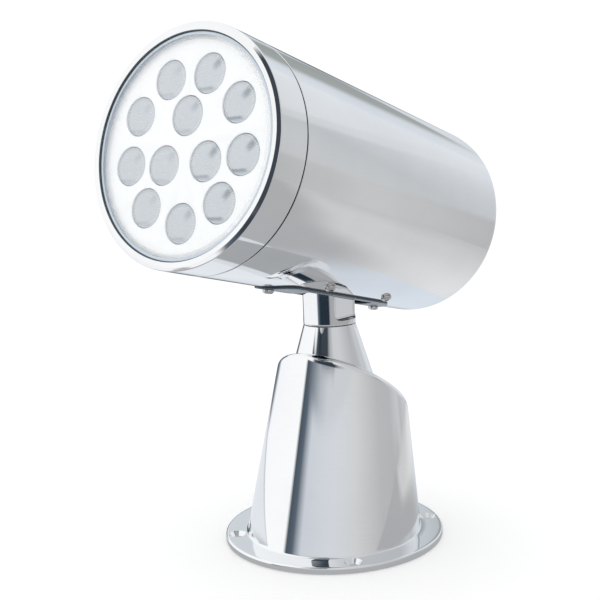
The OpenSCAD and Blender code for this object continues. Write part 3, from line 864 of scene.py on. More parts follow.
class Bench:
    """Holds one mesh while it is shaped with Blender's operators, in millimetres."""

    def __init__(self, name: str) -> None:
        """Takes the primitive that was just added and names it.

        Args:
            name: the piece's name.
        """
        self.obj = bpy.context.active_object
        self.obj.name = name
        self.obj.data.name = name

    @staticmethod
    def clear() -> None:
        """Deselects everything in object mode."""
        if bpy.context.mode != "OBJECT":
            bpy.ops.object.mode_set(mode="OBJECT")
        bpy.ops.object.select_all(action="DESELECT")

    def _choose(self) -> None:
        """Selects this piece alone and makes it active."""
        self.clear()
        self.obj.select_set(True)
        bpy.context.view_layer.objects.active = self.obj

    @classmethod
    def cylinder(
        cls, name: str, radius: float, low: float, high: float, sides: int = 192
    ) -> "Bench":
        """A cylinder on Z.

        Args:
            name: the piece's name.
            radius: its radius.
            low: height of its lower end.
            high: height of its upper end.
            sides: how many sides stand for its round.

        Returns:
            The bench that holds the cylinder.
        """
        cls.clear()
        bpy.ops.mesh.primitive_cylinder_add(
            vertices=sides, radius=radius, depth=high - low, location=(0, 0, (low + high) / 2)
        )
        bench = cls(name)
        bench.settle()
        return bench

    @classmethod
    def block(cls, name: str, low: Sequence[float], high: Sequence[float]) -> "Bench":
        """A box.

        Args:
            name: the piece's name.
            low: its lowest corner.
            high: its highest corner.

        Returns:
            The bench that holds the box.
        """
        cls.clear()
        middle = [(a + b) / 2 for a, b in zip(low, high)]
        bpy.ops.mesh.primitive_cube_add(size=1, location=middle)
        bench = cls(name)
        bench.obj.scale = [b - a for a, b in zip(low, high)]
        bench.settle()
        return bench

    @classmethod
    def turned(
        cls, name: str, outline: Sequence[Point], sides: int = 192, closed: bool = True
    ) -> "Bench":
        """Spins an outline of radius and height round Z.

        Args:
            name: the piece's name.
            outline: points of the outline, in order.
            sides: steps of the spin.
            closed: whether the outline's last point joins its first.

        Returns:
            The bench that holds the turned piece.
        """
        cls.clear()
        bpy.ops.mesh.primitive_plane_add(size=1)
        bench = cls(name)
        with bench.editing(Pick.VERT):
            bpy.ops.mesh.select_all(action="SELECT")
            bpy.ops.mesh.merge(type="CENTER")
            bpy.ops.transform.translate(value=(outline[0][0], 0, outline[0][1]))
            points = list(outline) + ([outline[0]] if closed else [])
            for (r0, z0), (r1, z1) in zip(points, points[1:]):
                bpy.ops.mesh.extrude_vertices_move(
                    TRANSFORM_OT_translate={"value": (r1 - r0, 0, z1 - z0)}
                )
            bpy.ops.mesh.select_all(action="SELECT")
            bpy.ops.mesh.remove_doubles(threshold=1e-5)
            bpy.ops.mesh.select_all(action="SELECT")
            bpy.ops.mesh.spin(steps=sides, angle=FULL_TURN, center=(0, 0, 0), axis=(0, 0, 1))
        bench.mend()
        return bench

    @contextmanager
    def editing(self, kind: Pick = Pick.FACE) -> Iterator[None]:
        """Edit mode on this piece alone, with nothing selected.

        Args:
            kind: the kind of element that is selected in it.

        Yields:
            Nothing; object mode comes back at the end.
        """
        self._choose()
        bpy.ops.object.mode_set(mode="EDIT")
        bpy.ops.mesh.select_mode(type=kind.value)
        bpy.ops.mesh.select_all(action="DESELECT")
        yield
        bpy.ops.object.mode_set(mode="OBJECT")

    def settle(self) -> None:
        """Puts the object's place and scale into its mesh."""
        self._choose()
        bpy.ops.object.transform_apply(location=True, rotation=True, scale=True)

    def mend(self) -> None:
        """Merges doubles and turns the faces outwards."""
        with self.editing(Pick.VERT):
            bpy.ops.mesh.select_all(action="SELECT")
            bpy.ops.mesh.remove_doubles(threshold=1e-4)
            bpy.ops.mesh.dissolve_degenerate(threshold=1e-5)
            bpy.ops.mesh.select_all(action="SELECT")
            bpy.ops.mesh.normals_make_consistent(inside=False)

    def _faces(self, test: Test) -> None:
        """Selects faces in edit mode.

        Args:
            test: chooses a face by its centre and normal.
        """
        mesh = bmesh.from_edit_mesh(self.obj.data)
        for face in mesh.faces:
            face.select_set(test(face.calc_center_median(), face.normal))
        mesh.select_flush_mode()
        bmesh.update_edit_mesh(self.obj.data)

    def _edges(self, test: Test) -> int:
        """Selects edges in edit mode.

        Args:
            test: chooses an edge by its two ends.

        Returns:
            How many edges are selected.
        """
        mesh = bmesh.from_edit_mesh(self.obj.data)
        for edge in mesh.edges:
            edge.select_set(test(edge.verts[0].co, edge.verts[1].co))
        bmesh.update_edit_mesh(self.obj.data)
        return sum(edge.select for edge in mesh.edges)

    def bevel(self, test: Test, width: float, steps: int) -> None:
        """Rounds edges.

        Args:
            test: chooses an edge by its two ends.
            width: radius of the rounding.
            steps: segments of the rounding.
        """
        with self.editing(Pick.EDGE):
            if self._edges(test):
                bpy.ops.mesh.bevel(
                    offset=width,
                    offset_type="OFFSET",
                    segments=steps,
                    profile=0.5,
                    clamp_overlap=True,
                )

    def grow(
        self,
        test: Test,
        move: Sequence[float],
        scale: float = 1.0,
        centre: Sequence[float] = (0, 0, 0),
    ) -> None:
        """Extrudes the chosen faces, moves them, then scales them in X and Y.

        Args:
            test: chooses faces by centre and normal.
            move: how far the new faces move.
            scale: their scale after the move.
            centre: the point that the scale keeps.
        """
        with self.editing(Pick.FACE):
            self._faces(test)
            bpy.ops.mesh.extrude_region_move(TRANSFORM_OT_translate={"value": tuple(move)})
            if scale != 1.0:
                bpy.ops.transform.resize(value=(scale, scale, 1), center_override=tuple(centre))

    def slice(self, point: Sequence[float], normal: Sequence[float], trim: bool = True) -> None:
        """Cuts with a plane.

        Args:
            point: a point of the plane.
            normal: the plane's normal.
            trim: whether the side that the normal points to goes and the cut is closed.
        """
        with self.editing(Pick.FACE):
            bpy.ops.mesh.select_all(action="SELECT")
            bpy.ops.mesh.bisect(
                plane_co=tuple(point), plane_no=tuple(normal), use_fill=trim, clear_outer=trim
            )

    def _boolean(self, tool: "Bench", shaping: Shaping) -> None:
        """Applies a Boolean with another piece, which is used up.

        Args:
            tool: the other piece.
            shaping: what the other piece does to this one.
        """
        self._choose()
        modifier = self.obj.modifiers.new("shape", "BOOLEAN")
        modifier.operation = shaping.value
        modifier.solver = "EXACT"
        modifier.object = tool.obj
        bpy.ops.object.modifier_apply(modifier=modifier.name)
        bpy.data.meshes.remove(tool.obj.data)

    def cut(self, tool: "Bench") -> None:
        """Takes another piece's shape away."""
        self._boolean(tool, Shaping.CUT)

    def keep(self, tool: "Bench") -> None:
        """Keeps only what lies inside another piece."""
        self._boolean(tool, Shaping.KEEP)

    def copy(self, name: str) -> "Bench":
        """A second piece with its own mesh.

        Args:
            name: the second piece's name.

        Returns:
            The bench that holds it.
        """
        self._choose()
        bpy.ops.object.duplicate(linked=False)
        return Bench(name)

    def join(self, others: Sequence["Bench"]) -> None:
        """Takes other pieces into this one's mesh.

        Args:
            others: pieces that end up in this one.
        """
        self._choose()
        for other in others:
            other.obj.select_set(True)
        bpy.ops.object.join()

    def shift(self, matrix: Matrix) -> "Bench":
        """Moves the piece within the drawing, still in millimetres.

        Args:
            matrix: the move.

        Returns:
            The same bench.
        """
        self.obj.matrix_world = matrix
        self.settle()
        return self

    def place(self, matrix: Matrix) -> None:
        """Moves the drawing to its frame and from millimetres to metres."""
        self.obj.matrix_world = Matrix.Scale(MM, 4) @ matrix
        self.settle()

    def dress(
        self,
        body: Body,
        finishes: Union[Finish, Sequence[Finish]],
        slot: Slot,
        nodes: Sequence[str] = (),
        angle: float = 32.0,
    ) -> None:
        """Shades and paints the piece, and says what it rides on.

        Args:
            body: the body that it moves with.
            finishes: one finish, or one for each material index of the mesh.
            slot: the record's material slot; not used.
            nodes: solids that it stands for.
            angle: edges sharper than this stay sharp, in degrees.
        """
        self._choose()
        bpy.ops.object.shade_smooth_by_angle(angle=math.radians(angle))
        if isinstance(finishes, Finish):
            finishes = [finishes]
        self.obj.data.materials.clear()
        for finish in finishes:
            self.obj.data.materials.append(finish.material())
        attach(self.obj, body.value)
        if nodes:
            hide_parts(*nodes)
        LOG.info("%s: %d faces", self.obj.name, len(self.obj.data.polygons))


# Sub-assemblies


@dataclass
class Base:
    """Leaning base with its flange, and the neck on its sloped top.

    The rings and holds are widths of flat faces that keep the shading even beside a rounding.
    """

    layout: Layout
    flange_r: float = 69.0
    flange_t: float = 4.0
    flange_round: float = 1.3
    deck_round: float = 0.6
    edge_ring: float = 2.4
    foot_ring: float = 4.2
    foot_r: float = 55.2
    foot_round: float = 0.8
    foot_hold: float = 0.8
    top_r: float = 40.5
    lean: float = 13.75
    cone_h: float = 99.8
    over: float = 1.3
    wall: float = 3.0
    rim_round: float = 5.0
    rim_hold: float = 1.5
    hollow_below: float = 1.0
    hollow_disc: float = 2.0
    bolt_count: int = 4
    bolt_first: float = 45.0
    bolt_r: float = 61.75
    bolt_hole_r: float = 3.0
    bolt_below: float = 1.0
    sink_r: float = 5.5
    sink_over: float = 0.8
    spigot_r: float = 14.5
    spigot_span: Point = (60.0, 140.0)
    neck_r: float = 16.35
    neck_low: float = 80.0
    neck_top: float = 134.05
    neck_flare: float = 0.30
    neck_round: float = 0.3
    neck_bore: float = 9.6

    def _taper(self) -> float:
        """How much the cone's radius shrinks for each millimetre of height."""
        return (self.foot_r - self.top_r) / self.cone_h

    def _leaning(self, bench: Bench, inset: float, low: float) -> None:
        """Grows the top face of a bench into the leaning cone.

        Args:
            bench: the bench, which ends in a round face.
            inset: how far the cone lies inside the housing's outside.
            low: height of that face.
        """
        rise = self.cone_h * self.over
        start = low - self.flange_t
        foot = self.foot_r - inset - self._taper() * start
        top = self.foot_r - inset - self._taper() * rise
        move = (0, self.lean / self.cone_h * (rise - start), rise - start)
        centre = (0, self.lean * self.over, self.flange_t + rise)
        bench.grow(top_middle, move, top / foot, centre)

    def housing(self) -> None:
        """The housing: flange, leaning wall, sloped top with its rim, hollow and bolt holes."""
        shell = Bench.cylinder("base_shell", self.flange_r, 0, self.flange_t, sides=256)
        outer, inner = self.flange_r - self.edge_ring, self.foot_r + self.foot_ring
        for before, radius in ((self.flange_r, outer), (outer, inner), (inner, self.foot_r)):
            shell.grow(top_middle, (0, 0, 0), radius / before)
        self._leaning(shell, 0, self.flange_t)
        self._round_edges(shell)
        shell.cut(self._hollow())
        for k in range(self.bolt_count):
            shell.cut(self._bolt_hole(self.bolt_first + 360 * k / self.bolt_count))
        spigot = Bench.cylinder("spigot", self.spigot_r, *self.spigot_span, sides=96)
        shell.cut(spigot.shift(self.layout.pan()))
        shell.mend()
        shell.place(Matrix())
        shell.dress(Body.BASE, STEEL, Slot.POLISHED_STEEL, ["base_housing"])

    def _round_edges(self, shell: Bench) -> None:
        """Slopes the top and rounds the rim, the foot and the flange.

        Args:
            shell: the flange with its leaning cone.
        """
        up, top = self.layout.slope_normal(), self.layout.slope_point()
        shell.slice(top, up)
        shell.bevel(
            lambda a, b: all(abs((p - top).dot(up)) < PLANE_SLACK for p in (a, b)),
            self.rim_round,
            steps=12,
        )
        for radius, height, rounding, steps in (
            (self.foot_r, self.flange_t, self.foot_round, 6),
            (self.flange_r, self.flange_t, self.flange_round, 5),
            (self.flange_r, 0, self.deck_round, 2),
        ):
            shell.bevel(lambda a, b: self._ring(a, b, radius, height), rounding, steps)
        foot_line = self.flange_t + self.foot_round + self.foot_hold
        shell.slice((0, 0, foot_line), (0, 0, 1), False)
        shell.slice(top - up * (self.rim_round + self.rim_hold), up, False)

    @staticmethod
    def _ring(a: Vector, b: Vector, radius: float, height: float) -> bool:
        """Whether both ends of an edge lie on a circle round Z.

        Args:
            a: one end.
            b: the other end.
            radius: the circle's radius.
            height: the circle's height.

        Returns:
            True if both do.
        """
        return all(
            abs(math.hypot(p.x, p.y) - radius) < RING_SLACK and abs(p.z - height) < LEVEL_SLACK
            for p in (a, b)
        )

    def _hollow(self) -> Bench:
        """The hollow inside the housing.

        Returns:
            The bench that holds its shape.
        """
        up = self.layout.slope_normal()
        low = -self.hollow_below
        drop = low - self.flange_t
        radius = self.foot_r - self.wall - self._taper() * drop
        hollow = Bench.cylinder("hollow", radius, low - self.hollow_disc, low, sides=128)
        hollow.shift(Matrix.Translation((0, self.lean / self.cone_h * drop, 0)))
        self._leaning(hollow, self.wall, low)
        hollow.slice(self.layout.slope_point() - up * self.wall, up)
        return hollow

    def _bolt_hole(self, angle: float) -> Bench:
        """A countersunk hole's shape.

        Args:
            angle: its place round the flange, in degrees.

        Returns:
            The bench that holds its shape.
        """
        depth = self.sink_r - self.bolt_hole_r
        over = self.flange_t + self.sink_over
        hole = Bench.turned(
            "bolt_hole",
            [
                (0, -self.bolt_below),
                (self.bolt_hole_r, -self.bolt_below),
                (self.bolt_hole_r, self.flange_t - depth),
                (self.sink_r, self.flange_t),
                (self.sink_r + self.sink_over, over),
                (0, over),
            ],
            sides=48,
        )
        a = math.radians(angle)
        place = (self.bolt_r * math.cos(a), self.bolt_r * math.sin(a), 0)
        return hole.shift(Matrix.Translation(place))

    def neck(self) -> None:
        """The neck cone with its bore, cut to the sloped top."""
        foot = self.neck_r + self.neck_flare * (self.neck_top - self.neck_low)
        outline = softened(
            [
                (self.neck_bore, self.neck_low, 0),
                (foot, self.neck_low, 0),
                (self.neck_r, self.neck_top, self.neck_round),
                (self.neck_bore, self.neck_top, 0),
            ],
            steps=4,
        )
        neck = Bench.turned("neck_shell", outline, sides=256)
        neck.slice((0, -self.layout.pan_y, self.layout.slope_z), -self.layout.slope_normal())
        neck.mend()
        neck.place(self.layout.pan())
        neck.dress(Body.BASE, STEEL, Slot.POLISHED_STEEL, ["neck_cone"])

    def build(self) -> None:
        """Builds the base's visible pieces."""
        self.housing()
        self.neck()


@dataclass
class Post:
    """Post with its round collar, flat sides and forked top.

    The crown's points are Y and height over the axle, up one side of its top.
    """

    layout: Layout
    radius: float = 16.4
    across: float = 22.8
    collar_z: float = 134.55
    collar_h: float = 2.9
    collar_holds: Point = (1.2, 2.5)
    edge: float = 0.35
    corner: float = 4.0
    fillet: float = 3.0
    flat_spare: float = 0.7
    flat_depth: float = 12.0
    flat_h: float = 80.0
    top: float = 15.0
    crown: tuple[Point, ...] = ((20.0, 2.0), (12.0, 11.0), (6.0, 15.0))
    fork: float = 3.0
    fork_depth: float = 17.0
    fork_h: float = 40.0
    reach: float = 30.0
    bush_r: float = 6.0
    spindle_r: float = 9.0
    spindle_span: Point = (-2.0, 12.0)

    def _flat_cut(self, side: int) -> Bench:
        """The shape that a flat side takes away, rounded at its lower corners.

        Args:
            side: 1 or -1, the side of the post.

        Returns:
            The bench that holds the shape.
        """
        half = math.sqrt(self.radius**2 - self.across**2 / 4) + self.flat_spare
        ledge = self.collar_z + self.collar_h
        inner = side * self.across / 2
        x0, x1 = sorted((inner, inner + side * self.flat_depth))
        cut = Bench.block("flat_cut", (x0, -half, ledge), (x1, half, ledge + self.flat_h))
        cut.bevel(
            lambda a, b: all(abs(p.z - ledge) < PLANE_SLACK for p in (a, b))
            and abs(a.x - b.x) > EDGE_RUN,
            self.corner,
            steps=10,
        )
        top = ledge + self.corner + PLANE_SLACK
        cut.bevel(
            lambda a, b: all(abs(p.x - inner) < PLANE_SLACK and p.z < top for p in (a, b)),
            self.fillet,
            steps=6,
        )
        return cut

    def _crowned(self) -> Bench:
        """The round bar that the post is cut from, with its crowned top.

        Returns:
            The bench that holds the bar.
        """
        axle = self.layout.axle_z
        post = Bench.cylinder("post_tongue", self.radius, self.collar_z, axle + self.top, sides=256)
        for (y0, z0), (y1, z1) in zip(self.crown, self.crown[1:]):
            for side in (1, -1):
                normal = Vector((0, side * (z1 - z0), y0 - y1)).normalized()
                post.slice((0, side * y0, axle + z0), normal)
        post.bevel(
            lambda a, b: all(abs(p.z - self.collar_z) < PLANE_SLACK for p in (a, b)),
            self.edge,
            steps=3,
        )
        for hold in self.collar_holds:
            post.slice((0, 0, self.collar_z + hold), (0, 0, 1), False)
        return post

    def build(self) -> None:
        """Builds the post."""
        axle = self.layout.axle_z
        post = self._crowned()
        for side in (1, -1):
            post.cut(self._flat_cut(side))
        low = (-self.fork, -self.reach, axle - self.fork_depth)
        post.cut(Bench.block("fork", low, (self.fork, self.reach, axle + self.fork_h)))
        bore = Bench.cylinder("bush_bore", self.bush_r, -self.reach, self.reach, sides=64)
        turn = Matrix.Rotation(math.radians(90), 4, "Y")
        post.cut(bore.shift(Matrix.Translation((0, 0, axle)) @ turn))
        span = (self.collar_z + end for end in self.spindle_span)
        post.cut(Bench.cylinder("spindle_bore", self.spindle_r, *span, sides=96))
        post.mend()
        post.place(self.layout.pan())
        post.dress(Body.PAN, STEEL, Slot.POLISHED_STEEL, ["post"], angle=25)


@dataclass
class Lamp:
    """Front of the head: bezel, seals, glass, plate and optics.

    Names that end in _s are distances behind the head's front. The crown, shoulder and bowl are
    an optic's outline, from its face back, as radius and depth; the shoulder's radii count from
    the optic's own.
    """

    layout: Layout
    lip_r: float = 59.5
    lip_back: float = 0.9
    lip_edge: Point = (0.35, 0.05)
    lip_round: float = 0.2
    bore_r: float = 61.4
    bezel_len: float = 22.0
    bezel_round: float = 0.35
    skirt_s: float = 31.0
    edge_w: float = 2.1
    edge_drop: float = 0.95
    edge_rounds: Point = (0.8, 0.5)
    seal_inset: float = 0.8
    seal_t: float = 1.0
    seal_round: float = 0.12
    gasket_s: float = 1.3
    gasket_in: float = 4.0
    gasket_round: float = 0.15
    ring_round: float = 0.2
    lens_s: float = 1.8
    lens_t: float = 2.2
    lens_r: float = 58.6
    lens_arris: float = 0.4
    plate_s: float = 4.2
    plate_t: float = 1.6
    plate_round: float = 0.5
    plate_skirt: float = 2.6
    hole_span: Point = (-2.0, 4.0)
    hole_round: float = 0.25
    board_s: float = 16.4
    optic_r: float = 10.75
    optic_gap: float = 0.25
    outer_ring: float = 39.4
    outer_count: int = 9
    outer_first: float = 88.0
    inner_ring: float = 16.6
    inner_count: int = 3
    inner_first: float = -92.0
    crown: tuple[Point, ...] = ((0, 0.25), (2.5, 0.27), (5, 0.33), (8, 0.47))
    shoulder: tuple[Point, ...] = ((-0.6, 0.62), (-0.15, 0.75), (0, 1.0), (0, 1.8), (-0.9, 2.0))
    bowl: tuple[Point, ...] = ((9.0, 4.4), (7.6, 7.4), (6.2, 9.8))
    foot_r: float = 4.8
    foot_gap: float = 0.4
    dimple_r: Point = (3.0, 2.7)
    dimple_depth: float = 2.6
    rim_depth: float = 1.4
    flutes: int = 48
    flute_span: Point = (3.5, 11.0)
    flute_from: float = 5.0
    flute_scale: float = 0.955

    def bezel(self) -> None:
        """Bezel with a sloped rim, a lip over the seal and a skirt into the shell."""
        head_r = self.layout.head_r
        shell_in = head_r - self.layout.head_wall
        lip_out, lip_s = self.lip_edge
        front_round, side_round = self.edge_rounds
        outline = softened(
            [
                (self.lip_r, self.lip_back, 0),
                (self.lip_r + lip_out, lip_s, self.lip_round),
                (head_r - self.edge_w, 0, front_round),
                (head_r, self.edge_drop, side_round),
                (head_r, self.bezel_len, self.bezel_round),
                (shell_in, self.bezel_len, 0),
                (shell_in, self.skirt_s, 0),
                (self.bore_r, self.skirt_s, 0),
                (self.bore_r, self.gasket_s, 0),
                (self.lip_r, self.gasket_s, 0),
            ],
            steps=8,
        )
        ring = Bench.turned("bezel_ring", outline, sides=288)
        ring.place(self.layout.tube())
        ring.dress(Body.HEAD, BEZEL_STEEL, Slot.POLISHED_STEEL, ["front_bezel"])

    def _ring(self, name: str, radii: Point, span: Point, rounding: float) -> Bench:
        """A turned ring with softened edges, placed on the head.

        Args:
            name: the piece's name.
            radii: its inner and outer radius.
            span: distances of its ends behind the head's front.
            rounding: the rounding of its edges.

        Returns:
            The bench that holds the ring.
        """
        (inner, outer), (low, high) = radii, span
        corners = ((inner, low), (outer, low), (outer, high), (inner, high))
        outline = softened([(*corner, rounding) for corner in corners], steps=3)
        ring = Bench.turned(name, outline, sides=192)
        ring.place(self.layout.tube())
        return ring

    def seals(self) -> None:
        """Rubber seals of the bezel and the glass, and the pale ring round the glass."""
        head_r = self.layout.head_r
        radii = (head_r - self.layout.head_wall, head_r - self.seal_inset)
        span = (self.bezel_len, self.bezel_len + self.seal_t)
        seal = self._ring("bezel_seal", radii, span, self.seal_round)
        seal.dress(Body.HEAD, RUBBER, Slot.BLACK_RUBBER, ["bezel_gasket"])
        radii = (self.lip_r - self.gasket_in, self.bore_r)
        seal = self._ring("glass_seal", radii, (self.gasket_s, self.lens_s), self.gasket_round)
        seal.dress(Body.HEAD, PALE_SEAL, Slot.PALE_RING, ["lens_gasket"])
        radii = (self.lens_r, self.bore_r)
        ring = self._ring("glass_ring", radii, (self.lens_s, self.plate_s), self.ring_round)
        ring.dress(Body.HEAD, PALE_RING, Slot.PALE_RING, ["lens_spacer"])

    def glass(self) -> None:
        """Flat front glass with an arrised edge."""
        back = self.lens_s + self.lens_t
        outline = softened(
            [
                (0, self.lens_s, 0),
                (self.lens_r, self.lens_s, self.lens_arris),
                (self.lens_r, back, self.lens_arris),
                (0, back, 0),
            ],
            steps=3,
        )
        pane = Bench.turned("front_glass", outline, sides=192)
        pane.place(self.layout.tube())
        pane.dress(Body.HEAD, PANE, Slot.CLEAR_GLASS, ["front_lens"])

    def _optic_places(self) -> list[Point]:
        """Centres of the optics on the plate.

        Returns:
            Their places, the outer ring first.
        """
        places = []
        for count, radius, first in (
            (self.outer_count, self.outer_ring, self.outer_first),
            (self.inner_count, self.inner_ring, self.inner_first),
        ):
            for i in range(count):
                a = math.radians(first + 360 * i / count)
                places.append((radius * math.cos(a), radius * math.sin(a)))
        return places

    def _on_hole_edge(self, point: Vector) -> bool:
        """Whether a point of the plate lies on the front edge of an optic's hole."""
        return abs(point.z - self.plate_s) < PLANE_SLACK and any(
            abs(math.hypot(point.x - x, point.y - y) - self.optic_r) < LEVEL_SLACK
            for x, y in self._optic_places()
        )

    def plate(self) -> None:
        """White plate with a softened hole for each optic."""
        skirt_in, back = self.bore_r - self.plate_skirt, self.plate_s + self.plate_t
        outline = softened(
            [
                (0, self.plate_s, 0),
                (self.bore_r, self.plate_s, self.plate_round),
                (self.bore_r, self.board_s, 0),
                (skirt_in, self.board_s, 0),
                (skirt_in, back, 0),
                (0, back, 0),
            ],
            steps=4,
        )
        plate = Bench.turned("lamp_plate", outline, sides=192)
        for x, y in self._optic_places():
            span = (self.plate_s + end for end in self.hole_span)
            tool = Bench.cylinder("hole", self.optic_r, *span, sides=72)
            plate.cut(tool.shift(Matrix.Translation((x, y, 0))))
        plate.bevel(
            lambda a, b: self._on_hole_edge(a) and self._on_hole_edge(b), self.hole_round, steps=2
        )
        plate.mend()
        plate.place(self.layout.tube())
        plate.dress(Body.HEAD, ENAMEL, Slot.WHITE_ENAMEL, ["reflector_plate"])

    def _optic_outline(self, radius: float) -> list[Point]:
        """Outline of one optic, from its face's middle to the dimple over its emitter.

        Args:
            radius: the optic's own radius.

        Returns:
            Points of radius and depth.
        """
        floor = self.board_s - self.plate_s - self.foot_gap
        roof = floor - self.dimple_depth
        mouth, crest = self.dimple_r
        shoulder = [(radius + r, z) for r, z in self.shoulder]
        dimple = [(self.foot_r, floor), (mouth, floor), (crest, roof), (0, roof)]
        return [*self.crown, *shoulder, *self.bowl, *dimple]

    def optics(self) -> None:
        """Optics: a fluted bright cup under a clear crowned face, made once and copied."""
        radius = self.optic_r - self.optic_gap
        sides = 2 * self.flutes
        cup = Bench.turned("lamp_optics", self._optic_outline(radius), sides, closed=False)
        self._flute(cup)
        self._paint_cup(cup)
        self._map_face(cup, radius)
        places = self._optic_places()
        copies = [cup.copy("lamp_optics_copy") for _ in places[1:]]
        for bench, (x, y) in zip([cup, *copies], places):
            bench.shift(Matrix.Translation((x, y, self.plate_s)))
        cup.join(copies)
        cup.place(self.layout.tube())
        cup.dress(Body.HEAD, [OPTIC_FACE, OPTIC_CUP], Slot.CLEAR_OPTIC, ["led_optics"])

    def _flute(self, cup: Bench) -> None:
        """Presses flutes into the cup's wall by drawing in every second line of points.

        Args:
            cup: the bench that holds one optic.
        """
        low, high = self.flute_span
        with cup.editing(Pick.VERT):
            mesh = bmesh.from_edit_mesh(cup.obj.data)
            for vert in mesh.verts:
                x, y, z = vert.co
                turn = math.atan2(y, x) / FULL_TURN * 2 * self.flutes
                wall = low < z < high and math.hypot(x, y) > self.flute_from
                vert.select_set(wall and round(turn) % 2 == 0)
            bmesh.update_edit_mesh(cup.obj.data)
            scale = (self.flute_scale, self.flute_scale, 1)
            bpy.ops.transform.resize(value=scale, center_override=(0, 0, 0))

    def _paint_cup(self, cup: Bench) -> None:
        """Gives the faces behind the rim the cup's material index.

        Args:
            cup: the bench that holds one optic.
        """
        for finish in (OPTIC_FACE, OPTIC_CUP):
            cup.obj.data.materials.append(finish.material())
        for face in cup.obj.data.polygons:
            face.material_index = int(face.center.z > self.rim_depth)

    @staticmethod
    def _map_face(cup: Bench, radius: float) -> None:
        """Maps the optic from its front, its rim on a circle of half the map's width.

        Args:
            cup: the bench that holds one optic.
            radius: the optic's own radius.
        """
        mesh = cup.obj.data
        layer = mesh.uv_layers.new(name=FACE_MAP)
        for loop in mesh.loops:
            x, y, _ = mesh.vertices[loop.vertex_index].co / (2 * radius)
            layer.data[loop.index].uv = (x + 0.5, y + 0.5)

    def build(self) -> None:
        """Builds the lamp's visible pieces."""
        self.bezel()
        self.seals()
        self.glass()
        self.plate()
        self.optics()


